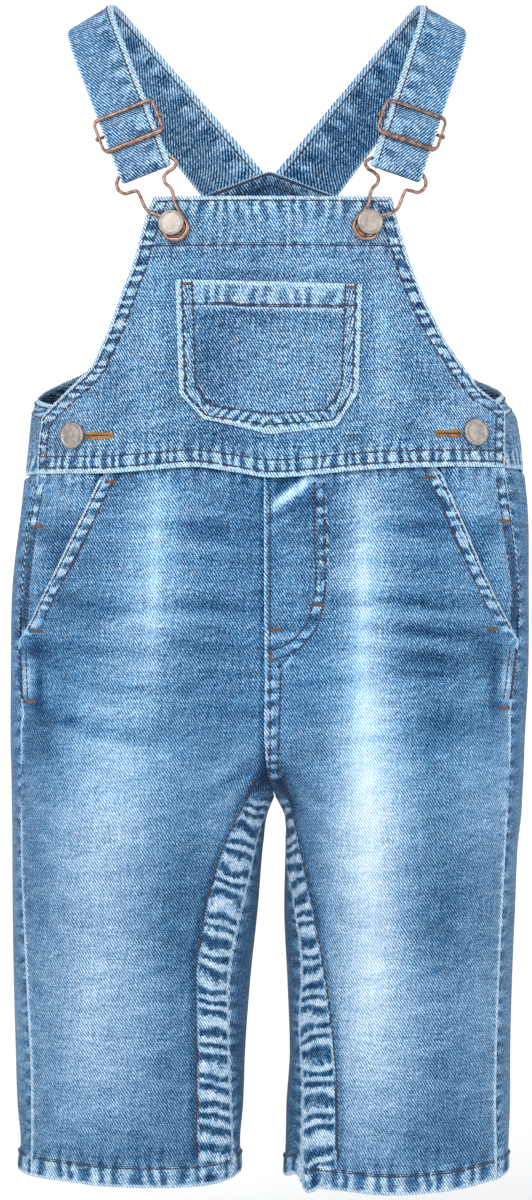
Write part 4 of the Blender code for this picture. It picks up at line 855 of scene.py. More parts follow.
def legRows(foot):
    # heights of a leg panel's rows: close at the waist, the crotch and the hem
    waist = [-241, -243, -245, -246.4, -247, -247.6, -248.2, -249]
    hip = np.arange(-251.0, -367.0, -2.0)
    rise = body["split"] - riseDrop * np.sin(np.radians(np.linspace(0, 84, 15)))
    shin = np.linspace(body["crotch"], foot + 12.6, 88)
    hem = [11.6, 11.1, 10.6, 10.2, 9.8, 8.4, 7.0, 5.6, 4.2, 2.8, 1.7, 0.9, 0.35, 0]
    return np.concatenate([waist, hip, rise, shin, foot + np.array(hem)])


def legLevels(turn, heights):
    # the top rows close up where nothing laps over them
    lapped = 1 - smooth((101 - turn) / 8) * smooth((turn + 54) / 8)
    rows = heights[:, None] + 0 * turn
    top = body["waist"] - 0.8
    closed = top + np.maximum(rows - top, 0) * 0.07
    return np.where(rows > top, rows * lapped + closed * (1 - lapped), rows)


def arcAlong(points):
    steps = np.linalg.norm(np.diff(points, axis=0), axis=-1)
    return np.concatenate([[0], np.cumsum(steps)])


def wrapped(turns):
    return np.where(turns < -180, turns + 360, turns)


def legGrid(side, heights, start, end, columns, high):
    # rows of a leg panel between two turns: turns, distances from its borders, place in the
    # cut, the arc lengths down both borders, and a function that finds another turn in each row
    def form(turns):
        return halfForm(side, wrapped(turns), heights[:, None] + 0 * turns)

    def runAt(target):
        found = [np.interp(-target[j], -sample[j], run[j]) for j in range(len(target))]
        return np.array(found)[:, None]

    turns, fromStart, run, sample = rowPlaces(form, start, end, columns)
    # the cut's widths are measured from a plumb line
    plumb = turnAt(side, heights, np.full(heights.shape, leg["plumb"][side]), 0, high)
    u = sideSign[side] * (fromStart - turnRun(side, heights, start, plumb))
    v = heights[:, None] + 0 * turns
    arcs = [arcAlong(form(border[:, None])[:, 0])[:, None] for border in (start, end)]
    return turns, fromStart, run[:, -1:] - fromStart, u, v, arcs, runAt


def turnRun(side, heights, first, last):
    # signed distance round the form between two turns, row by row
    ways = np.linspace(0, 1, 121)
    sample = first[:, None] * (1 - ways) + last[:, None] * ways
    points = halfForm(side, sample, heights[:, None] + 0 * sample)
    length = np.sum(np.linalg.norm(np.diff(points, axis=1), axis=-1), axis=1)
    return (np.sign(first - last) * length)[:, None]


def hemShare(v, foot):
    return smooth((foot + body["hem"] + 1.4 - v) / 1.4)


def acrossBands(v, foot):
    # puckers right across: over the hem, dying away above it and below the waist seam
    hem = leg["hemBand"] * hemShare(v, foot)
    above = leg["aboveHem"] * dying(v - foot - 10.5, 3.2)
    below = leg["belowWaist"] * dying(body["waist"] - 3 - v, 4.5)
    return hem + above * 0.6, np.maximum(np.maximum(hem, above), below)


def edgeTurns(side, heights):
    # where each leg's panels meet: inner edge and side seam, as turns
    inner = np.full(heights.shape, 180.0)
    below = heights < body["crotch"] - 0.5
    reach = curve(innerEdge[side], heights[below])
    inner[below] = turnAt(side, heights[below], reach, 90, 180)
    seam = turnAt(side, heights, curve(sideSeam[side], heights), 0, 90)
    ease = body["gap"] / 2 + 0.2 * bell(heights - body["crotch"], 20)
    return inner, seam, np.where(heights < body["crotch"] + 0.01, ease, 0.0)


def legSkins(side, turns, rows, v, lift, relief, edge, fromCentre):
    # both skins: the form moved along its normals, its edges rounded, tucked in under the waist
    # hem, and pressed over at the centre seam to meet the other leg's
    base = halfBase(side, turns, rows)
    normal = halfNormal(side, turns, rows)
    tuck = -body["tuck"] * smooth((rows - (body["waist"] - 3)) / 2.6)
    wall = body["wall"] + (body["hemWall"] - body["wall"]) * hemShare(v, hemFoot[side])
    press = leg["press"] * smooth((1.6 - fromCentre) / 1.6) * smooth((v - body["crotch"] - 1) / 3)
    low = relief + tuck - wall + rim(edge) * 0.7
    skins = [base + normal * by[..., None] for by in (lift + tuck + relief - rim(edge), low)]
    for skin in skins:
        skin[..., 0] -= sideSign[side] * press
    return skins


def flyBands(band, v, fromStart, toStrip):
    # puckers between the fly's two curved rows, at its foot, and along the seam below it
    between = smooth((fromStart - toStrip + 3.6) / 1.0) * smooth((toStrip + 2.2 - fromStart) / 1.0)
    band = np.maximum(band, smooth((v + 352) / 8) * between * 0.7)
    band = np.maximum(band, bell(v + 330, 8) * smooth((toStrip - fromStart) / 2) * 0.5)
    below = smooth((-344 - v) / 6) * smooth((v + 408) / 8)
    return np.maximum(band, below * smooth((6.6 - fromStart) / 1.0) * 0.75)


def frontLeg(side):
    foot = hemFoot[side]
    heights = legRows(foot)
    inner, seam, ease = edgeTurns(side, heights)
    start = shiftTurn(side, heights, inner, -ease)
    mouth = turnAt(side, heights, curve(pocketMouth[side], heights), 0, 120)
    end = np.where(heights > pocketFoot, np.maximum(mouth, seam), seam)
    end = shiftTurn(side, heights, end, body["gap"] / 2)
    strip = turnAt(side, heights, curve(stripStitch[side], heights), 60, 179)
    strip = np.minimum(strip, shiftTurn(side, heights, start, -2.0))
    grid = legGrid(side, heights, start, end, leg["columns"], 179)
    turns, fromStart, fromEnd, u, v, arcs, runAt = grid
    toStrip = runAt(strip)
    rows = legLevels(turns, heights)
    base = halfBase(side, turns, rows)
    x, z = base[..., 0], base[..., 2]
    nearStart = fromStart < (fromStart + fromEnd) * 0.45
    inside, outside = [arc / leg["ropePitch"] for arc in arcs]
    ropeUp = np.where(nearStart, inside + fromStart * 0.03, outside) + 0.37 * (side == "L")
    ropeAcross = u / leg["hemPitch"] + 0.2
    # where each band lies: the strip down the inner leg, the pocket mouth and the side seam
    seamZone = smooth((body["crotch"] + 4 - v) / 8)
    stripBand = smooth((toStrip - 0.7 - fromStart) / 1.2) * seamZone
    if side == "L":
        stripBand = flyBands(stripBand, v, fromStart, toStrip)
    mouthZone = smooth((v - pocketFoot + 2) / 6) * smooth((body["waist"] - 2 - v) / 3)
    mouthBand = mouthZone * smooth((8.6 - fromEnd) / 1.4)
    seamBand = (1 - smooth((v - pocketFoot + 8) / 6)) * bell(fromEnd, 4.5) * 0.3
    bandUp = np.maximum(np.maximum(stripBand * 0.92, mouthBand * 0.8), seamBand)
    hemRipple, bandAcross = acrossBands(v, foot)
    # edges worn pale: the pocket mouth, the side seam's ridge, the inner edge and the hem
    holdBack, shadow = leg["centre"][side]
    gap = np.minimum(fromEnd * np.where(v > pocketFoot, 0.5, 0.8), v - foot + 0.2)
    worn = seamZone if side == "R" else np.maximum(seamZone, smooth((v + 420) / 10))
    gap = np.minimum(gap, fromStart + 4 * (1 - worn) + holdBack * (1 - seamZone))
    gap = gap + 3 * bell(v + 406, 9)
    fadeAndShade = leg["shade"] + streak(x, z, leg["streak"][side]) + bump(x, z, leg["fadeAndShade"][side])
    fadeAndShade = fadeAndShade - 0.03 * smooth((v + 400) / 60)
    # painted shadow: a darker band just below the bib's waist hem, which laps over the leg
    fadeAndShade = fadeAndShade - 0.10 * dying(body["waist"] - 2 - v, 5)
    # painted shade: a dark line just outside the raised strip's edge; the pale line after it is
    # the strip's worn ridge
    fadeAndShade = fadeAndShade - 0.15 * bell(fromStart - toStrip - 1.6, 2.2) * seamZone
    fadeAndShade = fadeAndShade + 0.24 * bell(fromStart - toStrip + 0.9, 0.8) * seamZone
    fadeAndShade = fadeAndShade - shadow * bell(fromStart, 2.2) * (1 - seamZone)
    fadeAndShade = fadeAndShade - 0.07 * bell(v - foot - 13, 4.0) + 0.10 * hemShare(v, foot)
    clear = smooth((np.abs(rows - body["crotch"]) - 8) / 12)
    stripRise = body["rise"] * clear * smooth((toStrip + 0.8 - fromStart) / 0.8)
    hemRise = body["rise"] * hemShare(v, foot)
    mouthRise = leg["mouthRise"] * mouthZone * smooth((9.2 - fromEnd) / 1.2)
    ridge = 1 - smooth((v - pocketFoot + 4) / 6)
    ridge = leg["seamRidge"] * ridge * smooth((3.0 - fromEnd) / 1.4)
    lift = np.maximum(np.maximum(stripRise, hemRise), np.maximum(mouthRise, ridge))
    relief = 0.30 * stripBand * rope(ropeUp, 1.0) * clear
    relief = relief + 0.18 * mouthBand * rope(ropeUp, 1.0)
    ends = smooth(np.minimum(fromStart, fromEnd) / 5)
    relief = relief + 0.28 * hemRipple * rope(ropeAcross, 2.0) * ends
    relief = relief + bump(x, z, leg["crease"][side]) + bump(turns, rows, folds[side])
    if side == "L":
        relief = relief + bump(x, z, leg["flyCrease"])
        fadeAndShade = fadeAndShade + bump(x, z, leg["flyShade"])
        pale = np.minimum(bump(x, z, leg["flyWear"]), 1)
        fadeAndShade = fadeAndShade * (1 - pale * 0.95) + 0.95 * pale * 0.95
    edge = np.minimum(np.minimum(fromStart, fromEnd), v - foot)
    outer, lowest = legSkins(side, turns, rows, v, lift, relief, edge, fromStart)
    looks = looksOf(u, v, fadeAndShade, gap, bandUp, bandAcross, ropeUp, ropeAcross)
    makePanel(f"front_leg_{side}", outer, lowest, looks, [denim, denimInside], u, heights)


def backLeg(side):
    foot = hemFoot[side]
    heights = legRows(foot)
    inner, seam, ease = edgeTurns(side, heights)
    start = shiftTurn(side, heights, seam, -body["gap"] / 2)
    inner = np.where(inner > 179.99, -180.0, inner - 360)
    end = shiftTurn(side, heights, inner, ease)
    grid = legGrid(side, heights, start, end, leg["backColumns"], -179)
    turns, fromStart, fromEnd, u, v, arcs, _ = grid
    around = wrapped(turns)
    rows = legLevels(turns, heights)
    base = halfBase(side, around, rows)
    x, z = base[..., 0], base[..., 2]
    outside, inside = [arc / leg["ropePitch"] for arc in arcs]
    ropeUp = np.where(fromStart < (fromStart + fromEnd) * 0.5, outside, inside) + 0.31
    ropeAcross = u / leg["hemPitch"] + 0.4
    upper = smooth((v - body["crotch"]) / 8)
    seat = upper * smooth((8.6 - fromEnd) / 1.2) * (side == "L")
    bandUp = np.maximum(0.45 * bell(fromStart, 4.5), seat * 0.8)
    bandUp = np.maximum(bandUp, 0.55 * (1 - upper) * bell(fromEnd, 6.0))
    hemRipple, bandAcross = acrossBands(v, foot)
    gap = np.minimum(v - foot + 0.2, fromEnd + 1.0 * (1 - upper) + 3 * upper * (side == "R"))
    fadeAndShade = leg["backShade"] + streak(x, z, leg["backStreak"][side])
    fadeAndShade = fadeAndShade + bump(x, z, leg["backFade"][side])
    # painted shade: darker along the side seam at the outline, and near the inner edge below the
    # crotch, between the legs
    fadeAndShade = fadeAndShade - 0.06 * bell(fromStart, 6.0)
    fadeAndShade = fadeAndShade - 0.15 * bell(fromEnd, 22.0) * (1 - upper)
    lift = body["rise"] * hemShare(v, foot)
    lift = np.maximum(lift, 0.4 * upper * smooth((9.2 - fromEnd) / 1.2) * (side == "L"))
    relief = 0.28 * hemRipple * rope(ropeAcross, 2.0)
    relief = relief + 0.22 * bandUp * rope(ropeUp, 1.0) + bump(turns, rows, folds[side])
    edge = np.minimum(np.minimum(fromStart, fromEnd), v - foot)
    outer, lowest = legSkins(side, around, rows, v, lift, relief, edge, fromEnd)
    looks = looksOf(u, v, fadeAndShade, gap, bandUp, bandAcross, ropeUp, ropeAcross)
    makePanel(f"back_leg_{side}", outer, lowest, looks, [denimBack, denimInside], u, heights)


def hipFacing(side):
    heights = np.concatenate([[-246.4, -246.9, -247.6, -248.6, -249.8, -251, -252.2],
                              np.linspace(-253.6, leg["facingFoot"], 56)])
    seam = turnAt(side, heights, curve(sideSeam[side], heights), 0, 90)
    mouth = turnAt(side, heights, curve(pocketMouth[side], heights), 0, 120)
    mouth = np.maximum(mouth, seam)
    start = shiftTurn(side, heights, mouth, 12.0)
    # lower down, where it lies deeper, it runs on under the back leg
    under = 3.2 * (1 - smooth((heights - pocketFoot - 4) / 24))
    end = shiftTurn(side, heights, seam, body["gap"] / 2 - under)
    grid = legGrid(side, heights, start, end, leg["facingColumns"], 179)
    turns, fromStart, fromEnd, u, v, arcs, runAt = grid
    fromMouth = fromStart - runAt(mouth)
    # the top rows close up where the front leg laps over them
    closed = np.where(v > -251, -251 + (v + 251) * 0.08, v)
    rows = closed + (v - closed) * smooth((fromMouth - 0.2) / 1.2)
    base = halfBase(side, turns, rows)
    x, z = base[..., 0], base[..., 2]
    clear = np.maximum(fromMouth, 0)
    flush = smooth((clear - 3.0) / 8.0) * smooth((v - pocketFoot - 4) / 24)
    ropeUp = arcs[1] / 7.5 + 0 * turns
    plain = smooth((v + 282) / 8) + smooth((-322 - v) / 6)
    bandUp = 0.75 * smooth((8.2 - fromEnd) / 1.2) * plain
    bandAcross = 0.35 * dying(body["waist"] - 3 - v, 5.0)
    # painted shadow: darker close to the pocket mouth, under the front leg's edge, and a little
    # lighter further off
    fadeAndShade = leg["facingShade"] + 0.06 * smooth((clear - 8) / 10) - 0.16 * np.exp(-clear / 2.6)
    fadeAndShade = fadeAndShade + bump(x * sideSign[side], z, leg["facingFade"])
    # painted shadow: a darker band just below the bib's waist hem
    fadeAndShade = fadeAndShade - 0.06 * dying(body["waist"] - 2 - v, 5)
    # the placket beside the side seam keeps a darker slot
    slot = smooth((fromEnd - 2.2) / 0.8) * smooth((7.2 - fromEnd) / 0.8) * (1 - plain)
    fadeAndShade = fadeAndShade - 0.28 * slot + 0.30 * smooth((2.2 - fromEnd) / 0.8) * (1 - plain)
    relief = bump(turns, v, folds[side]) + 0.15 * bandUp * rope(ropeUp, 1.0)
    edge = np.minimum(np.minimum(fromStart, fromEnd), v - leg["facingFoot"])
    lift = -leg["facingDepth"] * (1 - flush) + relief
    normal = halfNormal(side, turns, rows)
    outer = base + normal * (lift - rim(edge))[..., None]
    lowest = base + normal * (lift - body["wall"] + rim(edge) * 0.7)[..., None]
    looks = looksOf(u, v, fadeAndShade, fromEnd * 0.7 + 0.3, bandUp, bandAcross, ropeUp, u / 7)
    makePanel(f"hip_facing_{side}", outer, lowest, looks, [denim, denimInside], u, heights)


for side in sideSign:
    frontLeg(side)
    backLeg(side)
    hipFacing(side)
print("legs made")


# Bib, pocket and back
bib = {
    "top": -105.4, "band": 26.0, "hem": 9.0, "columns": 96, "lowRope": 5.6, "topRope": 6.8,
    "sideRope": 6.4, "edgeBand": 0.85, "shade": 0.55, "backTop": -101.0, "backColumns": 132,
    "backRope": 6.0, "backShade": 0.52, "lap": 2.2,
    "edge": {
        "R": [(-250, -119.4), (-232, -118.9), (-221, -117.6), (-216, -116.6), (-212.6, -113.3),
              (-208, -108.4), (-198.7, -98.5), (-193, -92.2), (-183, -86.7), (-172, -82),
              (-154, -75.4), (-137, -69), (-127, -66.4), (-115, -62.8), (-105, -59.1)],
        "L": [(-250, 121), (-229, 121.1), (-219, 121.3), (-214, 121), (-210.6, 118.2),
              (-203, 108.1), (-197, 103.6), (-188, 96.6), (-180, 91), (-170, 85.4), (-154, 77.6),
              (-137, 71.2), (-127, 68), (-115, 64.6), (-105, 62.3)],
    },
    "fadeAndShade": [(-62, -185, 45, 14, 90, 0.05), (-28, -205, 50, 16, 90, -0.1),
             (16, -190, 60, 18, 90, 0.05), (57, -190, 60, 8, 90, 0.1),
             (72, -205, 34, 7, 90, -0.05), (96, -222, 22, 10, 60, 0.1),
             (-98, -222, 24, 12, 90, 0.06), (0, -234, 90, 5, 0, -0.05),
             (-30, -142, 40, 5, 0, 0.05), (30, -140, 30, 5, 0, 0.04),
             # these four rows are dark lines just outside the pocket's outline: painted shade
             # round the raised pocket
             (0, -145.5, 46, 3, -1, -0.12), (-51, -185, 36, 3, 90, -0.1),
             (50, -185, 36, 3, 90, -0.1), (0, -229, 42, 3, 0, -0.09),
             (-82, -206, 16, 3.4, 52, -0.1), (-74, -214, 20, 3.2, 44, -0.08),
             (-90, -214, 14, 3.4, 40, 0.08), (-62, -222, 18, 3.2, 20, 0.06),
             (84, -205, 16, 3.4, -52, -0.08), (78, -214, 20, 3.2, -40, 0.07),
             (66, -223, 20, 3.2, -16, -0.07), (-104, -234, 12, 4, 0, -0.08),
             (104, -234, 12, 4, 0, -0.08), (-70, -122, 6, 10, 0, -0.08),
             (70, -122, 6, 10, 0, -0.08), (20, -123, 14, 4, 30, 0.06)],
    "crease": [(-70, -205, 26, 6, 58, -0.5), (-82, -218, 22, 6, 48, 0.5),
               (74, -206, 26, 6, -56, -0.5), (84, -220, 22, 6, -46, 0.5),
               (-26, -232, 22, 4, 8, 0.3), (38, -231, 24, 4, -6, -0.3),
               (4, -141, 40, 5, 2, -0.3)],
    "backFade": [(0, -175, 60, 40, 90, 0.08), (-60, -205, 40, 12, 80, 0.05),
                 (58, -200, 40, 12, -80, 0.05), (-84, -225, 30, 7, 40, -0.08),
                 (86, -222, 30, 7, -40, -0.08), (0, -236, 80, 6, 0, -0.06)],
    "backCrease": [(-50, -222, 34, 6, 14, -0.9), (-62, -232, 30, 6, 10, 0.7),
                   (46, -218, 36, 6, -12, -0.8), (60, -230, 30, 6, -14, 0.7),
                   (6, -170, 26, 9, 84, 0.5), (-24, -160, 24, 8, -78, -0.5),
                   (0, -236, 30, 4, 0, 0.5)],
    "reach": {
        "R": [(-250, 52), (-215, 52), (-211.5, 56), (-209, 72), (-206, 90), (-200.2, 107),
              (-194, 121), (-180, 136), (-160, 146), (-135, 152), (-115, 154.5), (-98, 156),
              (-80, 157)],
        "L": [(-250, 52), (-214, 52), (-210.5, 56), (-207.5, 72), (-203.5, 90), (-199, 107),
              (-193.3, 121), (-180, 136), (-160, 146), (-135, 152), (-115, 154.5), (-98, 156),
              (-80, 157)],
    },
    "peak": 15.0, "peakHalf": 40.0, "peakFoot": -130.0, "peakEase": 29.0,
    "facingHalf": 36.0, "facingFoot": -112.0, "facingTop": -98.4,
}


def waistDip(turn, height):
    # how far the waist line's dips lift or lower the front bib
    line = curve(waistLine, trunk(turn, height)[..., 0]) - body["waist"]
    return np.where(np.abs(turn) < 90, line * smooth((-196 - height) / 50), 0.0)


def trunkPoints(turn, height, lift, dip):
    # the trunk's form, dipped and moved along its normals
    points = trunk(turn, height)
    points[..., 2] += dip
    return points + trunkNormal(turn, height) * np.asarray(lift)[..., None]


def trunkGrid(form, heights, start, end, columns, middle):
    # rows of a panel of the trunk: turns, place in the cut, both borders, distance to them, and
    # the puckers' count down them
    turns, fromStart, run, sample = rowPlaces(form, start, end, columns)
    toMiddle = [np.interp(middle, sample[j], run[j]) for j in range(len(heights))]
    u = fromStart - np.array(toMiddle)[:, None]
    v = heights[:, None] + 0 * turns
    borders = [np.stack([u[:, k], heights], axis=1) for k in (0, -1)]
    side = np.minimum(distanceTo(u, v, borders[0]), distanceTo(u, v, borders[1]))
    first, last = [arcAlong(form(border[:, None])[:, 0])[:, None] for border in (start, end)]
    ropeUp = np.where(u < 0, first, last + 2.2) / bib["sideRope"]
    return turns, u, v, borders, side, ropeUp


def awayFrom(places, steps, least):
    # places that keep their distance from the closer rows given beside them
    return places[np.min(np.abs(places[:, None] - np.array(steps)), axis=1) > least]


def bibFront():
    low = body["waist"] + nearEdge
    high = bib["top"] - nearEdge[::-1]
    steps = [-237.3, -236.8, -236.3, -235.8, -131.6, -131.2, -130.7, -130.2, -129.8]
    even = awayFrom(np.linspace(low[-1], high[0], 74)[1:-1], steps, 0.7)
    heights = np.sort(np.concatenate([low, steps, even, high]))
    start = trunkTurn(curve(bib["edge"]["R"], heights), heights)
    end = trunkTurn(curve(bib["edge"]["L"], heights), heights)

    def form(turns):
        return trunk(turns, heights[:, None] + 0 * turns)

    turns, u, v, borders, side, ropeUp = trunkGrid(form, heights, start, end, bib["columns"], 0.0)
    top = bib["top"] - v
    foot = v - body["waist"]
    x = trunk(turns, v)[..., 0]
    ropeAcross = np.where(v < -180, u / bib["lowRope"], u / bib["topRope"])
    bandUp = bib["edgeBand"] * smooth((8.3 - side) / 1.4)
    # the top band puckers from its edge, the waist hem right across
    topBand = 0.78 * bell(top, 12.0) + 0.34 * bell(top - bib["band"], 3)
    lowBand = 0.8 * smooth((bib["hem"] + 0.8 - foot) / 1.4)
    lowFade = 0.55 * dying(foot - 9.5, 3.4)
    bandAcross = np.maximum(np.maximum(topBand, lowBand), lowFade) * smooth((side - 7.6) / 1.6)
    fadeAndShade = bib["shade"] + bump(x, v, bib["fadeAndShade"]) + 0.02 * smooth((v + 131) / 2)
    # painted shade: a dark line just below the top band's raised edge
    fadeAndShade = fadeAndShade - 0.05 * bell(v + 135, 3.0)
    gap = np.minimum(np.minimum(side, top), foot)
    rise = body["rise"] * np.maximum(
        smooth((v - (bib["top"] - bib["band"])) / 1.5), smooth((bib["hem"] - foot) / 1.5)
    )
    rise = np.maximum(rise, 0.35 * smooth((9.0 - side) / 1.2))
    relief = 0.26 * bandUp * rope(ropeUp, 1.0) + 0.24 * bandAcross * rope(ropeAcross, 2.0)
    relief = relief + bump(x, v, bib["crease"])
    dip = waistDip(turns, v)
    outer = trunkPoints(turns, v, rise + relief - rim(gap), dip)
    inner = trunkPoints(turns, v, relief * 0.5 - body["wall"] + rim(gap) * 0.7, dip)
    looks = looksOf(u, v, fadeAndShade, gap * 0.8, bandUp, bandAcross, ropeUp, ropeAcross)
    makePanel("bib_front", outer, inner, looks, [denim, denimInside], u, heights, True)
    return borders


def backPeak(across, height):
    # the back's peak at the neck: a straight-sided gable that eases in with height
    rise = smooth((height - bib["peakFoot"]) / bib["peakEase"])
    return bib["peak"] * (1 - np.abs(across) / bib["peakHalf"]) * rise


def bibBack():
    low = body["waist"] + nearEdge
    high = bib["backTop"] - nearEdge[::-1]
    around = [-215, -213.8, -212.6, -211.5, -210.4, -209.3, -208.2, -207, -206, -205, -203.8,
              -202.5, -201, -199.5]
    lower = np.linspace(low[-1], -216.5, 14)[1:]
    upper = np.linspace(-198, high[0], 50)[:-1]
    heights = np.concatenate([low, lower, around, upper, high])
    start = curve(bib["reach"]["L"], heights)
    end = 360 - curve(bib["reach"]["R"], heights)

    def form(turns):
        return trunk(np.where(turns > 180, turns - 360, turns), heights[:, None] + 0 * turns)

    turns, u, v, borders, side, ropeUp = trunkGrid(form, heights, start, end, bib["backColumns"],
                                                   180.0)
    folded = np.where(turns > 180, turns - 360, turns)
    top = bib["backTop"] - v
    foot = v - body["waist"]
    x = trunk(folded, v)[..., 0]
    ropeAcross = u / bib["backRope"]
    bandUp = bib["edgeBand"] * smooth((8.3 - side) / 1.4)
    lowBand = 0.75 * smooth((9.8 - foot) / 1.4)
    lowFade = 0.4 * dying(foot - 9.5, 4.0)
    bandAcross = np.maximum(np.maximum(0.6 * bell(top, 7.0), lowBand), lowFade)
    bandAcross = bandAcross * smooth((side - 7.6) / 1.6)
    fadeAndShade = bib["backShade"] + bump(x, v, bib["backFade"])
    gap = np.minimum(np.minimum(side, top), foot)
    rise = 0.35 * np.maximum(smooth((9.0 - side) / 1.2), smooth((9.0 - foot) / 1.4))
    rise = np.maximum(rise, 0.35 * smooth((8.6 - top) / 1.2))
    # it lies flat and deeper where the front bib laps over it
    shown = np.abs(folded) - 94
    rise = rise * smooth(shown / 6)
    relief = 0.26 * bandUp * rope(ropeUp, 1.0) + 0.22 * bandAcross * rope(ropeAcross, 2.0)
    relief = relief * smooth(shown / 8) + bump(x, v, bib["backCrease"])
    dip = np.where(v > bib["peakFoot"], backPeak(x, v), waistDip(folded, v))
    under = bib["lap"] * smooth(-shown / 20)
    outer = trunkPoints(folded, v, rise + relief - under - rim(gap), dip)
    inner = trunkPoints(folded, v, relief - under - body["wall"] + rim(gap) * 0.7, dip)
    looks = looksOf(u, v, fadeAndShade, gap, bandUp, bandAcross, ropeUp, ropeAcross)
    makePanel("bib_back", outer, inner, looks, [denimBack, denimInside], u, heights, True)
    return borders[::-1]


def backFacing():
    half, low, high = bib["facingHalf"], bib["facingFoot"], bib["facingTop"]
    heights = np.concatenate([low + np.array([0, 0.4, 1, 2]), np.linspace(-108.8, -99.8, 8),
                              [-99.1, -98.6, high]])
    across = np.broadcast_to(spread(np.array([2 * half]), 44) - half, (len(heights), 52))
    v = heights[:, None] + 0 * across
    turns = trunkTurn(across, v)
    turns = np.where(turns >= 0, 180 - turns, -180 - turns)
    peak = backPeak(across, v)
    gap = high - v
    edge = np.minimum(np.minimum(half - np.abs(across), v - low), gap)
    outer = trunkPoints(turns, v, -2.6 - rim(edge), peak)
    inner = trunkPoints(turns, v, -4.0 + rim(edge) * 0.7, peak)
    band = 0.5 * smooth((6 - gap) / 2)
    shade = 0.42 - 0.12 * bell(gap - 7, 2.5)
    looks = looksOf(across, v, shade, gap * 0.8, 0 * v, band, 0 * v, across / 7.0)
    skins = [denimFacing, denimFacing]
    makePanel("bib_back_facing", outer, inner, looks, skins, across, heights, True)


pocket = {
    "wall": 1.2, "top": -149.6, "tilt": -0.026, "halfTop": 47.2, "halfFoot": 45.2,
    "middle": -0.4, "hem": 0.162, "width": 92.4, "height": 72.0, "rope": 7.8, "shade": 0.535,
    # the lower edge: place across from -1 to 1, and height
    "foot": [(-1, -206), (-0.96, -208.6), (-0.76, -219.2), (-0.72, -220.6), (0, -225.2),
             (0.74, -223), (0.78, -221.4), (0.96, -208.6), (1, -205.6)],
    "fadeAndShade": [(-30, -190, 34, 12, 90, -0.1), (18, -188, 34, 14, 90, 0.06),
             (36, -190, 34, 7, 90, 0.03), (-8, -200, 30, 9, 60, 0.03),
             (0, -163.5, 44, 2.2, 0, -0.06)],
    "corners": [(-39.5, -207.5, 3, 3.6, 0, 1), (-31, -218.2, 3.6, 3, 0, 1),
                (39.5, -206.5, 3, 3.6, 0, 1), (32.5, -219.4, 3.6, 3, 0, 1)],
}


def bibPocket():
    near = nearEdge / pocket["width"]
    table = np.array(pocket["foot"])
    turnsDown = np.array([-0.96, -0.76, -0.72, 0.74, 0.78, 0.96])
    ways = np.concatenate([near, np.linspace(near[-1], 1 - near[-1], 50)[1:-1], 1 - near])
    ways = np.unique(np.round(np.concatenate([ways, (turnsDown + 1) / 2]), 5)) * 2 - 1
    tall = nearEdge / pocket["height"]
    steps = pocket["hem"] + np.array([-0.004, 0.003, 0.01, 0.017, 0.024])
    even = awayFrom(np.linspace(tall[-1], 1 - tall[-1], 40)[1:-1], steps, 0.01)
    shares = np.sort(np.concatenate([tall, steps, even, 1 - tall]))
    share, way = np.meshgrid(shares, ways, indexing="ij")
    foot = np.interp(way, table[:, 0], table[:, 1])
    top = pocket["top"] + way * pocket["halfTop"] * pocket["tilt"]
    v = top + (foot - top) * share
    half = pocket["halfTop"] + (pocket["halfFoot"] - pocket["halfTop"]) * share
    x = pocket["middle"] + way * half
    turns = trunkTurn(x, v)
    # open outline: down one side, along the foot and up the other
    outline = np.concatenate([
        np.stack([x[:, 0], v[:, 0]], axis=1), np.stack([x[-1], v[-1]], axis=1),
        np.stack([x[::-1, -1], v[::-1, -1]], axis=1),
    ])
    edge = distanceTo(x, v, outline)
    fromTop = top - v
    hem = smooth((pocket["hem"] + 0.02 - share) / 0.02)
    # the two lower corners of each side are worn smooth and pale
    corner = np.clip(bump(x, v, pocket["corners"]), 0, 1)
    bandUp = 0.8 * smooth((8.9 - edge) / 1.4) * (1 - 0.85 * corner)
    hemBand = 0.5 * hem * smooth((edge - 8.0) / 2.0) * smooth((fromTop - 1.5) / 2.0)
    ropeUp = v / 6.2 + np.sign(x) * x / 5.4 * smooth((0.95 - np.abs(way)) / 0.25)
    # below the hem's stitch row: a worn line, then shade
    under = fromTop - pocket["hem"] * pocket["height"]
    fadeAndShade = pocket["shade"] + bump(x, v, pocket["fadeAndShade"]) + 0.15 * hem
    fadeAndShade = fadeAndShade + 0.26 * bell(under - 2.0, 1.3) - 0.09 * bell(under - 6.5, 3) + 0.28 * corner
    gap = np.minimum(edge, fromTop) * 0.8
    rise = np.maximum(body["rise"] * hem, 0.3 * smooth((9.4 - edge) / 1.2))
    ropeAcross = x / pocket["rope"]
    relief = 0.2 * bandUp * rope(ropeUp, 1.0) + 0.26 * hemBand * rope(ropeAcross, 2.0)
    dip = waistDip(turns, v)
    lift = body["gap"] + 0.45 + pocket["wall"] + rise + relief
    outer = trunkPoints(turns, v, lift - rim(gap), dip)
    inner = trunkPoints(turns, v, body["gap"] + 0.25 + rim(gap) * 0.3, dip)
    looks = looksOf(x, v, fadeAndShade, gap, bandUp, hemBand, ropeUp, ropeAcross)
    makePanel("bib_pocket", outer, inner, looks, [denim, denimInside], x, v[:, 0])
    return outline


bibBorders = bibFront()
backBorders = bibBack()
backFacing()
pocketOutline = bibPocket()
print("bib made")


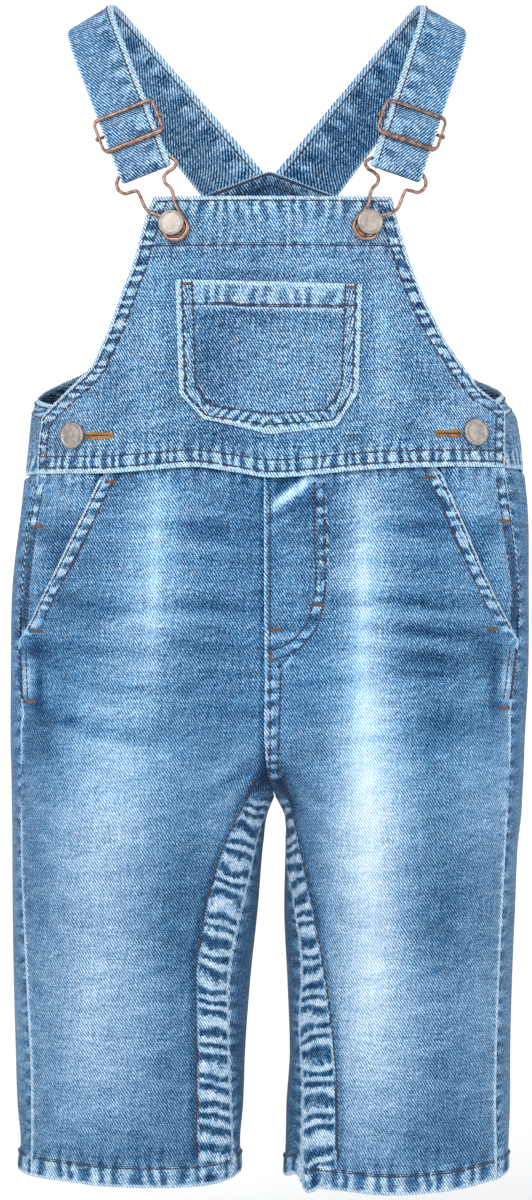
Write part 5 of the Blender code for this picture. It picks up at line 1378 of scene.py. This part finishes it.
# Straps and metal trims
strap = {
    "R": {"across": -92.8, "tilt": 31.3, "frontCross": 79.8, "backCross": 81.0,
          "front": 102.6, "back": 126.8, "slider": 79.6},
    "L": {"across": 89.9, "tilt": 30.0, "frontCross": 78.6, "backCross": 81.0,
          "front": 101.1, "back": 125.2, "slider": 78.0},
    "top": -1.1, "frontLean": 14.0, "backLean": 9.0, "blend": 30.0, "ridge": 26.0,
    "half": 13.4, "halfBack": 16.8, "cut": 21.0, "settle": 30.0, "settleEnd": 6.0,
    "ridgeRun": 44.0, "frontStart": 50.0, "wall": 2.2, "returnStep": 1.2,
    "bendReach": 4.8, "bendOver": 2.3, "behindTop": 1.25, "behindFoot": 1.55,
    "pitch": 13.0, "stitch": 3.1, "shade": 0.54,
}
slider = {
    "halfWidth": 16.1, "halfHeight": 8.9, "corner": 3.0, "topWire": 1.0, "footWire": 1.4,
    "sideWire": 0.75, "barWire": 0.8, "knob": 1.25, "lift": 1.6,
}
barLift = slider["lift"] - slider["sideWire"] - body["gap"] - slider["barWire"]
hook = {
    "wire": 0.88, "loopWire": 1.2, "loopRadius": 6.3, "shift": (1.7, -2.1), "collar": 0.8,
    "plate": 6.6, "plateHalf": 0.35, "plateBevel": 0.3,
}
foldRadius = hook["wire"] + body["gap"] + 0.2 + strap["wall"] / 2
foldReach = foldRadius + strap["wall"] / 2
hook["outer"] = [(-14.6, foldReach), (-16.3, 0.8), (-16.2, -2.6), (-14.0, -5.2), (-10.4, -5.6),
                 (-8.0, -6.2), (-7.2, -9.4), (-7.1, -13.0), (-6.6, -17.0)]
hook["inner"] = [(8.2, -18.2), (8.9, -14.6), (8.6, -11.0), (7.2, -7.8), (7.6, -4.8),
                 (10.4, -2.9), (14.2, -1.9), (16.2, 0.4), (14.6, foldReach)]


def strapPoint(side, run, cross, lift):
    # a flat band laid over a tilted ridge: straight lengths before and behind a round bend
    mine = strap[side]
    inward = -sideSign[side]
    tilt = math.radians(mine["tilt"])
    ridge = np.array([inward * math.cos(tilt), 0.0, math.sin(tilt)])
    rise = np.array([-inward * math.sin(tilt), 0.0, math.cos(tilt)])
    run = np.asarray(run, float)
    ease = smooth((run + strap["blend"]) / (2 * strap["blend"]))
    angle = np.radians(mine["backCross"] + (mine["frontCross"] - mine["backCross"]) * ease)
    wider = strap["halfBack"] / strap["half"] - 1
    cross = cross * np.where(run < 0, 1 + wider * -run / mine["back"], 1)
    along = -run * np.cos(angle) + cross * np.sin(angle)
    over = run * np.sin(angle) + cross * np.cos(angle)
    bend = np.radians(90 - np.where(over > 0, strap["frontLean"], strap["backLean"]))
    turn = np.minimum(np.abs(over) / strap["ridge"], bend)
    straight = np.maximum(np.abs(over) - strap["ridge"] * bend, 0)
    drop = strap["ridge"] * (1 - np.cos(turn)) + straight * np.sin(bend)
    depth = strap["ridge"] * np.sin(turn) + straight * np.cos(bend)
    facing = np.where(over > 0, -1.0, 1.0)
    top = np.array([mine["across"], 0.0, strap["top"] - strap["half"] * math.sin(tilt)])
    top = top - rise * strap["wall"] / 2
    point = top + along[..., None] * ridge - drop[..., None] * rise
    point[..., 1] += facing * depth
    normal = np.cos(turn)[..., None] * rise
    normal[..., 1] += facing * np.sin(turn)
    return point + normal * np.asarray(lift)[..., None]


def frontBulge(side, run):
    # in and out of the slider: back behind both rails, forward over the centre bar
    middle = strap[side]["slider"]
    places = (middle, middle - slider["halfHeight"], middle + slider["halfHeight"])
    over, high, low = [bell(run - place, strap["bendReach"]) for place in places]
    return strap["bendOver"] * over - strap["behindTop"] * high - strap["behindFoot"] * low


def strapLayers(side):
    # runs and lifts of a strap: up from the back, over, down to the fold in the hook and back
    mine = strap[side]
    foot = mine["front"]
    back = np.linspace(-mine["back"], -strap["ridgeRun"], 52)[2:-1]
    back = np.concatenate([-mine["back"] + nearEdge[:-1], back])
    ridge = np.linspace(-strap["ridgeRun"], strap["ridgeRun"], 56)
    front = np.linspace(strap["frontStart"] - 4, foot, 44)
    runs = np.concatenate([back, ridge, front])
    lifts = np.where(runs > 44, frontBulge(side, runs) * smooth((runs - 50) / 8), 0.0)
    fold = np.radians(np.linspace(12, 168, 14))
    foldRuns = foot + foldRadius * np.sin(fold)
    foldLifts = lifts[-1] - foldRadius + foldRadius * np.cos(fold)
    rest = np.linspace(foot, mine["slider"] - 0.4, 28)
    rest = np.append(rest, mine["slider"] - strap["returnStep"])
    ease = smooth((mine["slider"] + 8.0 - rest) / 7.0)
    far = lifts[-1] - 2 * foldRadius
    near = barLift - slider["barWire"] - body["gap"] - strap["wall"] / 2
    restLifts = far * (1 - ease) + near * ease
    return np.concatenate([runs, foldRuns, rest]), np.concatenate([lifts, foldLifts, restLifts])


def settleEnd(side, run, points):
    # the strap's back end comes to lie in the middle of the back bib's wall
    past = -run - (strap[side]["back"] - strap["settle"])
    share = smooth(past / (strap["settle"] - strap["settleEnd"]))
    height = points[..., 2] - backPeak(points[..., 0], points[..., 2])
    turn = trunkTurn(points[..., 0], height)
    behind = trunk(np.where(turn >= 0, 180 - turn, -180 - turn), height)
    moved = points.copy()
    moved[..., 1] += (behind[..., 1] - body["wall"] / 2 - points[..., 1]) * share
    return moved


def shoulderStrap(side):
    mine = strap[side]
    runs, lifts = strapLayers(side)
    crosses = spread(np.array(2 * strap["half"]), 14) - strap["half"]
    run, cross = np.meshgrid(runs, crosses, indexing="ij")
    end = smooth((-run - (mine["back"] - strap["settle"])) / strap["settle"])
    lift = lifts[:, None] + 0 * run
    cutRun = run - end * cross * math.tan(math.radians(strap["cut"]))
    middle = settleEnd(side, cutRun, strapPoint(side, cutRun, cross, lift))
    along = np.gradient(middle, axis=0)
    across = middle[:, -1:] - middle[:, :1]
    normal = unit(np.cross(across, along)) * sideSign[side]
    length = arcAlong(middle[:, len(crosses) // 2])
    total = length[-1]
    fromSide = strap["half"] - np.abs(cross)
    v = -length[:, None] + 0 * cross
    fromEnds = np.minimum(-v, total + v)
    edge = np.minimum(fromSide, fromEnds)
    # one stitched edge, on the neck's side, with dark spots along a line beside it
    fromNeck = strap["half"] - cross
    band = 0.6 * bell(fromNeck - 7.2, 3.6)
    ropeUp = v / strap["pitch"]
    half = strap["wall"] / 2 - 0.75 * (1 - smooth(edge / 1.5))
    half = half + 0.12 * band * rope(ropeUp, 1.0) - 0.14 * bell(fromNeck - strap["stitch"], 0.9)
    half = np.minimum(half, strap["wall"] / 2 + 0.1)
    fadeAndShade = strap["shade"] + 0.04 * np.sin(v / 17.0 + 1.3) + 0.03 * bell(cross + 4, 5)
    # painted shade: the layer that runs back up behind the front one is darker
    behindFront = smooth((length[:, None] - (mine["back"] + mine["front"] + 4)) / 6)
    fadeAndShade = fadeAndShade - 0.10 * behindFront
    looks = looksOf(cross, v, fadeAndShade, np.minimum(fromNeck * 0.5, fromSide * 1.5 + 0.4), band, 0 * v,
                    ropeUp, 0 * v)
    outer = middle + normal * half[..., None]
    inner = middle - normal * half[..., None]
    skins = [strapDenim, strapUnder[side]]
    makePanel(f"strap_{side}", outer, inner, looks, skins, cross, v[:, 0])


def strapFrame(side, run):
    # a point of the strap, and the ways across it, up along it and out of it
    def at(run, cross):
        return strapPoint(side, np.array(run), np.array(cross), np.array(0.0))

    here = at(run, 0.0)
    up = unit(at(run - 1.0, 0.0) - here)
    sideWay = unit(at(run, 1.0) - here)
    out = unit(np.cross(sideWay, up)) * -sideSign[side]
    return here, sideWay, up, out if out[1] < 0 else -out


def smoothPath(points, count, closed):
    # points spread evenly along a curve through the given ones
    points = np.asarray(points, float)
    if closed:
        points = np.concatenate([points[-3:], points, points[:3]])
    run = arcAlong(points)
    slopes = np.gradient(points, run, axis=0)
    first, last = (run[3], run[-3]) if closed else (run[0], run[-1])
    at = np.linspace(first, last, count, endpoint=not closed)
    k = np.clip(np.searchsorted(run, at, side="right") - 1, 0, len(run) - 2)
    span = (run[k + 1] - run[k])[:, None]
    t = (at - run[k])[:, None] / span
    return hermite(t, span, points[k], points[k + 1], slopes[k], slopes[k + 1]), at - first


def pointsAt(where, run, points):
    # points of a line at distances along it
    return np.stack([np.interp(where, run, column) for column in points.T], axis=1)


def ringQuads(here, ahead):
    # faces from each closed ring of points to the next
    quads = [here, np.roll(here, -1, 1), np.roll(ahead, -1, 1), ahead]
    return np.stack(quads, axis=-1).reshape(-1, 4).tolist()


def fullCircle(count):
    return np.linspace(0, 2 * math.pi, count, endpoint=False)


def tube(name, path, radii, sides, closed):
    # round wire carried along a path; its frame is turned no more than the path turns
    path = np.asarray(path, float)
    count = len(path)
    ahead = np.roll(path, -1, axis=0) - np.roll(path, 1, axis=0)
    if not closed:
        ahead = np.gradient(path, axis=0)
    ahead = unit(ahead)
    frames = [np.cross(ahead[0], (0.0, 1.0, 0.0))]
    for way in ahead:
        frames.append(unit(frames[-1] - way * np.dot(frames[-1], way)))
    frames = np.array(frames[1:])
    cross = np.cross(ahead, frames)
    angle = fullCircle(sides)
    ring = frames[:, None] * np.cos(angle)[None, :, None]
    ring = ring + cross[:, None] * np.sin(angle)[None, :, None]
    points = (path[:, None] + ring * np.asarray(radii)[:, None, None]).reshape(-1, 3)
    index = np.arange(count * sides).reshape(count, sides)
    if closed:
        faces = ringQuads(index, np.roll(index, -1, axis=0))
    else:
        faces = ringQuads(index[:-1], index[1:]) + capFaces(index)
    return outwardMesh(name, points, faces, copper)


def capFaces(index):
    return [index[0][::-1].tolist(), index[-1].tolist()]


def facingOut(points, faces):
    # closed faces, turned so that they enclose a positive volume
    corners = points[[face[0] for face in faces]]
    turned = np.cross(points[[face[1] for face in faces]], points[[face[2] for face in faces]])
    return faces if np.sum(corners * turned) > 0 else [face[::-1] for face in faces]


def outwardMesh(name, points, faces, material):
    piece = addMesh(name, points * mm, facingOut(points, faces), np.zeros(len(faces)))
    piece.data.materials.append(material)
    return piece


def rounded(halfWide, halfHigh, corner, steps):
    # rectangle with round corners
    pairs = []
    for sx, sz, start in ((1, 1, 0), (-1, 1, 90), (-1, -1, 180), (1, -1, 270)):
        angle = np.radians(start + np.linspace(0, 90, steps))
        pairs.append(np.stack([
            sx * (halfWide - corner) + corner * np.cos(angle),
            sz * (halfHigh - corner) + corner * np.sin(angle)], axis=1))
    return np.concatenate(pairs)


def makeSlider(side):
    here, sideWay, up, out = strapFrame(side, strap[side]["slider"])
    flat = rounded(slider["halfWidth"], slider["halfHeight"], slider["corner"], 9)
    flat = np.concatenate([flat, flat[:1]])
    run = arcAlong(flat)
    flat = pointsAt(np.linspace(0, run[-1], 150, endpoint=False), run, flat)
    path = here + flat[:, :1] * sideWay + flat[:, 1:] * up + out * slider["lift"]
    z = (path - here) @ up
    rail = np.where(z > 0, slider["topWire"], slider["footWire"])
    level = smooth((np.abs(z) - slider["halfHeight"] + 1.6) / 1.6)
    radii = slider["sideWire"] + (rail - slider["sideWire"]) * level
    frameRing = tube(f"slider_ring_{side}", path, radii, 14, True)
    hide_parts(f"slider_frame_{side}")
    reach = slider["halfWidth"] + 2.2
    spots = [(-reach, 0.35), (-reach + 0.25, 0.85), (-reach + 0.8, slider["knob"]),
             (-reach + 1.5, slider["knob"]), (-reach + 2.1, slider["barWire"])]
    spots = spots + [(-x, r) for x, r in spots[::-1]]
    centre = here + out * barLift
    path = [centre + sideWay * x for x, r in spots]
    bar = tube(f"slider_rod_{side}", path, [r for x, r in spots], 16, False)
    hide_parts(f"slider_bar_{side}")


def bibPlace(across, height):
    # point and direction on the front bib
    turn = trunkTurn(np.array(across), np.array(height))
    return trunk(turn, np.array(height)), trunkNormal(turn, np.array(height))


buttons = {
    "bib": {"R": (-49.2, -119.9), "L": (50.3, -119.4)},
    "side": {"R": (-99.8, -227.2), "L": (104.4, -225.6)},
    "radius": 6.7, "shank": 1.3, "sideRadius": 6.9, "sideShank": 3.0, "sideLift": 1.2,
    "cap": [(0.9, 0), (0.35, 0.02), (0.08, 0.22), (0, 0.55), (0.02, 0.9), (0.14, 1.25),
            (0.38, 1.55), (0.72, 1.76), (1.05, 1.82), (1.35, 1.72), (1.55, 1.56), (1.8, 1.5),
            (2.6, 1.56), (4, 1.68), (5.6, 1.75)],
}


def makeHook(side):
    inward = -sideSign[side]
    foldRun = strap[side]["front"]
    here, sideWay, up, out = strapFrame(side, foldRun)
    centre = here + out * (frontBulge(side, np.array(foldRun)) - foldRadius)
    button, normal = bibPlace(*buttons["bib"][side])
    lift = body["gap"] + body["rise"] + hook["collar"] + body["gap"] + hook["loopWire"]
    across = unit(np.cross((0.0, 0.0, 1.0), normal))
    flatUp = np.cross(normal, across)
    flatWay = across * inward
    middle = button + normal * lift + flatWay * hook["shift"][0] + flatUp * hook["shift"][1]
    angle = np.radians(np.arange(150, 391, 12))[:, None]
    # the loop is a little angular, as bent wire is
    radius = hook["loopRadius"] * (1 + 0.03 * np.cos(6 * angle + 0.4))
    loop = middle + (flatWay * np.cos(angle) + flatUp * np.sin(angle)) * radius
    foot = centre - up * foldReach
    arms = []
    for inwardBy, upBy in hook["outer"] + hook["inner"]:
        point = foot + sideWay * inwardBy + up * upBy
        share = smooth((-upBy - 1.0) / 9.0)
        off = (point - middle) * normal
        point[1] += (middle[1] - (off[0] + off[2]) / normal[1] - point[1]) * share
        arms.append(point)
    count = len(hook["outer"])
    path = np.concatenate([arms[:count], loop, arms[count:], [centre]])
    thick = np.zeros(len(path))
    thick[count:count + len(loop)] = 1
    marks = arcAlong(path)
    path, run = smoothPath(path, 420, True)
    share = np.interp(run, marks, thick)
    radii = hook["wire"] + (hook["loopWire"] - hook["wire"]) * smooth(share)
    piece = tube(f"hook_wire_{side}", path, radii, 12, True)
    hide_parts(f"hook_{side}")
    # flat keeper plate inside the loop, six-cornered, with a round hole for the button's neck
    angle = fullCircle(48)[:, None]
    ray = flatWay * np.cos(angle) + flatUp * np.sin(angle)
    fromFlat = np.abs((np.degrees(angle) + 30) % 60 - 30)
    reach = hook["plate"] / np.cos(np.radians(fromFlat)) ** 0.8
    hole = button + normal * lift + ray * (buttons["shank"] + 0.5)
    bevel = middle + ray * (reach - hook["plateBevel"])
    half = normal * hook["plateHalf"]
    rings = [hole + half, bevel + half, middle + ray * reach, bevel - half, hole - half]
    index = np.arange(len(rings) * len(angle)).reshape(len(rings), -1)
    plate = outwardMesh(f"hook_plate_{side}", np.concatenate(rings),
                        ringQuads(index, np.roll(index, -1, axis=0)), copper)


def lathe(name, profile, base, axis, sides=48):
    # radius and distance pairs turned about an axis
    axis = unit(np.asarray(axis, float))
    sideWay = unit(np.cross(axis, (0.0, 0.0, 1.0)))
    upWay = np.cross(sideWay, axis)
    angle = fullCircle(sides)[:, None]
    ray = np.cos(angle) * sideWay + np.sin(angle) * upWay
    profile = np.array(profile, float)
    points = base + profile[:, 1, None, None] * axis + profile[:, 0, None, None] * ray
    index = np.arange(len(profile) * sides).reshape(len(profile), sides)
    faces = ringQuads(index[:-1], index[1:]) + capFaces(index)
    return outwardMesh(name, points.reshape(-1, 3), faces, nickel)


def capProfile(radius, cap):
    # rolled rim, shallow step and a slightly dished, faintly domed face
    profile = [(radius - inset, cap + up) for inset, up in buttons["cap"]]
    return profile + [(0.25, cap + 1.76)]


def makeButtons(side):
    point, normal = bibPlace(*buttons["bib"][side])
    lift = body["gap"] + body["rise"]
    neck = lift + hook["collar"]
    cap = neck + 2 * body["gap"] + 2 * hook["loopWire"]
    profile = [(3.2, lift - 0.4), (3.7, lift), (3.8, neck - 0.3), (3.6, neck - 0.08),
               (3.2, neck), (buttons["shank"], neck), (buttons["shank"], cap)]
    profile = profile + capProfile(buttons["radius"], cap)
    piece = lathe(f"bib_cap_{side}", profile, point, normal)
    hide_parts(f"bib_button_{side}")
    point, normal = bibPlace(*buttons["side"][side])
    cap = body["gap"] + buttons["sideLift"]
    profile = [(buttons["sideShank"], body["gap"] - 0.5), (buttons["sideShank"], cap)]
    profile = profile + capProfile(buttons["sideRadius"], cap)
    piece = lathe(f"side_cap_{side}", profile, point, normal)
    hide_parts(f"side_button_{side}")


for side in sideSign:
    shoulderStrap(side)
    makeSlider(side)
    makeHook(side)
    makeButtons(side)
print("straps and trims made")


# Stitching: small sunk capsules laid along each seam
thread = {
    "pitch": 3.1, "length": 2.6, "radius": 0.40, "sides": 5, "groove": 1.15, "grooveStep": 1.6,
    "sunk": 0.16, "ridge": 0.07, "tackPitch": 0.55, "rows": (2.5, 7.6),
    # rings of one stitch: place along it, size, and height over the cloth
    "rings": [(-0.5, 0.4, -0.55), (-0.3, 1, 0.55), (0.3, 1, 0.55), (0.5, 0.4, -0.55)],
}


def stitchMesh(centres, ways, normals, length, radius):
    # each stitch: rings along its length, the end rings smaller and sunk in the cloth
    across = unit(np.cross(ways, normals))[:, None, None]
    ways = ways[:, None, None]
    up = np.cross(across, ways)
    place, size, lift = np.array(thread["rings"]).T[:, :, None, None]
    angle = fullCircle(thread["sides"])[:, None]
    circle = across * np.cos(angle) + up * np.sin(angle)
    points = centres[:, None, None] + ways * (place * length) + up * (lift * radius)
    points = points + circle * (size * radius)
    index = np.arange(len(place) * len(angle)).reshape(len(place), -1)
    return points.reshape(len(centres), -1, 3), ringQuads(index[:-1], index[1:]) + capFaces(index)


def grooveUnder(points, normals):
    # the pulled-in line under a row of stitches: a low three-sided strip sunk at its edges, which
    # joinStitches gives the dark seam shadow material, painted shade of the groove
    run = arcAlong(points)
    at = np.linspace(0, run[-1], max(int(run[-1] / thread["grooveStep"]), 2))
    middle = pointsAt(at, run, points)
    normal = unit(pointsAt(at, run, normals))
    across = unit(np.cross(np.gradient(middle, axis=0), normal)) * thread["groove"]
    low = normal * thread["sunk"]
    high = normal * thread["ridge"]
    strip = np.stack([middle - across - low, middle + high, middle + across - low], axis=1)
    index = np.arange(len(at) * 3).reshape(-1, 3)
    strip = strip.reshape(-1, 3)
    faces = ringQuads(index[:-1], index[1:]) + capFaces(index)
    return strip, facingOut(strip - strip.mean(axis=0), faces)


def joinStitches(name, runs, material):
    # one mesh of all the stitches and of the dark groove strip, painted shade, under each row that
    # runs lengthwise
    allPoints = []
    faces = []
    slots = []
    base = 0
    for points, normals, pitch, length, radius, crosswise in runs:
        run = arcAlong(points)
        count = max(int(run[-1] / pitch), 1)
        at = (np.arange(count) + 0.5) * run[-1] / count
        reach = min(length, pitch) / 2
        ways = unit(pointsAt(at + reach, run, points) - pointsAt(at - reach, run, points))
        normal = unit(pointsAt(at, run, normals))
        if crosswise:
            ways = unit(np.cross(ways, normal))
        stitches, sides = stitchMesh(pointsAt(at, run, points), ways, normal, length, radius)
        sides = facingOut(stitches[0] - stitches[0].mean(axis=0), sides)
        parts = [(stitch, sides, 0) for stitch in stitches]
        if not crosswise:
            parts.append((*grooveUnder(points, normals), 1))
        for corners, made, slot in parts:
            faces += [[corner + base for corner in face] for face in made]
            slots += [slot] * len(made)
            allPoints.append(corners)
            base += len(corners)
    piece = addMesh(name, np.concatenate(allPoints) * mm, faces, slots)
    piece.data.materials.append(material)
    piece.data.materials.append(seamShadow)
    return piece


def seam(panel, line, place=layOn):
    # a row of stitches, its line given in the panel's cut, or in front view with castOn
    return (*place(panel, line), thread["pitch"], thread["length"], thread["radius"], False)


def tackRun(panel, x0, z0, x1, z1, width=1.8, radius=0.32):
    # a bar of close stitches laid across its line
    line = np.linspace((x0, z0), (x1, z1), 24)
    return (*castOn(panel, line), thread["tackPitch"], width, radius, True)


def edgeLine(panel, distance, low, high):
    # places beside the last side border, from one height to another
    u = panel["u"]
    rows = np.linspace(high, low, max(int((high - low) / 2), 2))
    at = np.interp(-rows, -panel["v"], u[:, -1])
    reach = distance * np.sqrt(1 + np.gradient(at, rows) ** 2)
    return np.stack([at + np.sign(u[0, 0] - u[0, -1]) * reach, rows], axis=1)


def borderRows(panel, borders, turns, low, high):
    # two rows beside each side border, between two heights
    made = []
    for border, turn in zip(borders, turns):
        for gap in thread["rows"]:
            line = offsetLine(border, gap, turn)
            inside = (line[:, 1] > low) & (line[:, 1] < high)
            made.append(seam(panel, line[inside]))
    return made


def rowLine(panel, height, margin):
    # places right across at one height
    u = panel["u"]
    j = int(np.argmin(np.abs(panel["v"] - height)))
    low, high = sorted((u[j, 0], u[j, -1]))
    across = np.linspace(low + margin, high - margin, 90)
    return np.stack([across, 0 * across + height], axis=1)


# rows and tacks of the legs: heights, or x and z in front view
legSewing = {
    "gaps": (1.9, 7.2), "mouth": (-328, -247.5), "facing": (-326, -252), "side": (-362, -336),
    "stripTop": -398, "hemRow": 9.7, "margin": 2.4,
    "backGaps": (2.2, 7.9), "centreBack": (-404, -250),
    "fly": [
        [(22.7, -251.3), (22.7, -280.7), (22.4, -311), (19.4, -321.1), (13.3, -329.7),
         (7.3, -334.2), (1.2, -336.2)],
        [(27.5, -251.3), (27.5, -280.7), (27.3, -312), (24.5, -323.1), (17.9, -332.7),
         (10.3, -338.3), (2, -341.3)],
    ],
    "facingTack": {"R": (-122.3, -273.5, -115.7, -273.5), "L": (117.4, -270.5, 124.5, -270.5)},
    "tacks": {
        "R": [(-83.6, -251, -77.5, -251), (-122, -326.9, -115.5, -326.9),
              (-126.7, -363.2, -119.3, -363.2)],
        "L": [(21.3, -313.5, 27.5, -313.5), (0, -326.1, 6.3, -326.1), (0.5, -337, 0.5, -343),
              (78.2, -248.8, 84.4, -248.8), (111.5, -325.8, 116.8, -325.8),
              (116.6, -366.2, 123.2, -366.2)],
    },
}


def stitchLegs(side):
    front = panels[f"front_leg_{side}"]
    back = panels[f"back_leg_{side}"]
    facing = panels[f"hip_facing_{side}"]
    heights = np.arange(hemFoot[side] + 11, legSewing["stripTop"], 3.0)
    strip = [(curve(stripStitch[side], z) + sideSign[side] * 0.1, z) for z in heights]
    brown = [seam(front, strip, castOn)]
    for gap in legSewing["gaps"]:
        low, high = legSewing["mouth"]
        brown.append(seam(front, edgeLine(front, gap, low + gap, high)))
        brown.append(seam(facing, edgeLine(facing, gap, *legSewing["facing"])))
        brown.append(seam(front, edgeLine(front, gap, *legSewing["side"])))
    for panel in (front, back):
        line = rowLine(panel, hemFoot[side] + legSewing["hemRow"], legSewing["margin"])
        brown.append(seam(panel, line))
    if side == "L":
        for gap in legSewing["backGaps"]:
            brown.append(seam(back, edgeLine(back, gap, *legSewing["centreBack"])))
        for line in legSewing["fly"]:
            brown.append(seam(front, smoothPath(line, 70, False)[0], castOn))
        # centre front: one row down to the crotch, and one from the fly's foot
        brown.append(seam(front, [(0.2, z) for z in np.arange(-404, -252, 4.0)], castOn))
        brown.append(seam(front, np.linspace((5.8, -343.0), (4.3, -400), 24), castOn))
    gold = [tackRun(facing, *legSewing["facingTack"][side])]
    gold += [tackRun(front, *tack) for tack in legSewing["tacks"][side]]
    joinStitches(f"leg_stitching_{side}", brown, brownThread)
    joinStitches(f"leg_tacks_{side}", gold, tackThread)


def stitchBib():
    front = panels["bib_front"]
    patch = panels["bib_pocket"]
    brown = borderRows(front, bibBorders, (-1, 1), -245, -108.4)
    for height, margin in ((-107.8, 2.6), (-130.6, 1.0), (-243.0, 2.6), (-237.3, 2.6)):
        brown.append(seam(front, rowLine(front, height, margin)))
    for gap in (3.0, 8.3):
        brown.append(seam(patch, offsetLine(pocketOutline, gap, 1), castOn))
    ways = np.linspace(-46.0, 44.9, 60)
    brown.append(seam(patch, [(x, -160.8 - (x + 46) * 0.011) for x in ways], castOn))
    tacks = [(-45, -150.6, -38.8, -150.4), (38.3, -152.2, 44.4, -152.4)]
    # worked buttonholes: a row of thread each side of a slit, and a bar across the end; the slit
    # is fine brown thread over a dark groove strip, painted shade of the opening
    gold = []
    for x0, x1, z in ((-93.6, -80.6, -227.3), (97.5, 85.0, -226.2)):
        way = np.sign(x1 - x0)
        for shift in (1.0, -1.0):
            gold.append(tackRun(front, x0, z + shift * 1.15, x1, z + shift * 0.8, 1.7, 0.42))
        gold.append(tackRun(front, x1 + way * 0.5, z - 1.3, x1 + way * 0.5, z + 1.3, 1.3, 0.4))
        slit = castOn(front, np.linspace((x0, z), (x1 - way * 0.8, z), 20))
        brown.append((*slit, 0.9, 0.8, 0.34, False))
    joinStitches("bib_stitching", brown, brownThread)
    joinStitches("bib_tacks", [tackRun(patch, *tack) for tack in tacks], tackThread)
    joinStitches("buttonholes", gold, goldThread)


def undersideOf(panel):
    # the same panel seen from its inner skin
    return dict(panel, points=panel["back"], normals=-panel["normals"])


def stitchBack():
    back = panels["bib_back"]
    brown = borderRows(back, backBorders, (1, -1), -230, -104)
    for height, margin in ((-103.4, 3.0), (-109.0, 3.0), (-243.0, 60.0), (-237.3, 60.0)):
        brown.append(seam(back, rowLine(back, height, margin)))
    joinStitches("back_stitching", brown, brownThread)
    facing = undersideOf(panels["bib_back_facing"])
    ways = np.linspace(-34.5, 34.5, 60)
    inside = [seam(facing, [(x, z) for x in ways]) for z in (-100.2, -104.9)]
    joinStitches("facing_stitching", inside, brownThread)


def stitchStrap(side):
    panel = panels[f"strap_{side}"]
    v = panel["v"]
    at = strap["half"] - strap["stitch"]
    line = [(at, z) for z in np.linspace(v[0] - 3, v[-1] + 3, 240)]
    brown = [seam(panel, line), seam(undersideOf(panel), line)]
    joinStitches(f"strap_stitching_{side}", brown, brownThread)


for side in sideSign:
    stitchLegs(side)
stitchBib()
stitchBack()
for side in sideSign:
    stitchStrap(side)
print("stitching made")


# For each cloth piece a finish name is picked, and nothing is done with it
for name, panel in panels.items():
    "facing_denim" if name == "bib_back_facing" else "washed_denim"


# Floor, light and camera
def plainMaterial(name, colour):
    # seen through from behind, so that it never hides the garment
    material, wire, shader = newMaterial(name)
    front = 1.0 - wire.node("ShaderNodeNewGeometry", out=6)
    wire.fill(shader, {"Base Color": (*colour, 1.0), "Roughness": 0.9, "Alpha": front})
    return material


stage = {"floor": -0.665, "front": -3.2, "back": 1.1, "bend": 0.7, "half": 3.5, "top": 2.2,
         "target": (0, 0, -0.3)}


def makeStage():
    # floor carried back and bent up into a wall
    bend = np.radians(np.linspace(0, 90, 24))
    y = stage["back"] + stage["bend"] * np.sin(bend)
    y = np.concatenate([[stage["front"]], y, [stage["back"] + stage["bend"]]])
    z = np.concatenate([[0], stage["bend"] * (1 - np.cos(bend)), [stage["top"]]])
    sides = (-stage["half"], stage["half"])
    points = [np.stack([across + 0 * y, y, z + stage["floor"]], axis=1) for across in sides]
    count = len(y)
    faces = [(k, k + count, k + count + 1, k + 1) for k in range(count - 1)]
    mesh = bpy.data.meshes.new("backdrop")
    mesh.from_pydata(np.concatenate(points).tolist(), [], faces)
    mesh.shade_smooth()
    mesh.materials.append(plainMaterial("pale paper", (0.93, 0.93, 0.93)))
    backdrop = bpy.data.objects.new("backdrop", mesh)
    bpy.context.scene.collection.objects.link(backdrop)


def softBox(name, place, size, power):
    light = bpy.data.lights.new(name, "AREA")
    light.shape = "RECTANGLE"
    light.size, light.size_y = size
    light.energy = power
    lamp = bpy.data.objects.new(name, light)
    bpy.context.scene.collection.objects.link(lamp)
    lamp.location = place
    aim = Vector(stage["target"]) - Vector(place)
    lamp.rotation_euler = aim.to_track_quat("-Z", "Y").to_euler()


makeStage()
softBox("key light", (-1.2, -2.2, 1.0), (1.4, 1.8), 34)
softBox("fill light", (1.6, -2.2, 0.2), (1.6, 2.0), 20)
softBox("back light", (0.3, 1.0, 1.3), (1.6, 1.2), 10)
world = bpy.data.worlds.new("studio")
world.use_nodes = True
sky = world.node_tree.nodes["Background"].inputs
sky["Color"].default_value = (1.0, 1.0, 1.0, 1.0)
sky["Strength"].default_value = 0.72
bpy.context.scene.world = world
bpy.context.scene.view_settings.view_transform = "Standard"

camera = bpy.data.cameras.new("camera")
camera.sensor_width = 36.0
camera.lens = 115.4
viewer = bpy.data.objects.new("camera", camera)
bpy.context.scene.collection.objects.link(viewer)
viewer.location = (-0.0018, -2.0, -0.311)
viewer.rotation_euler = (math.radians(90), 0.0, 0.0)
bpy.context.scene.camera = viewer
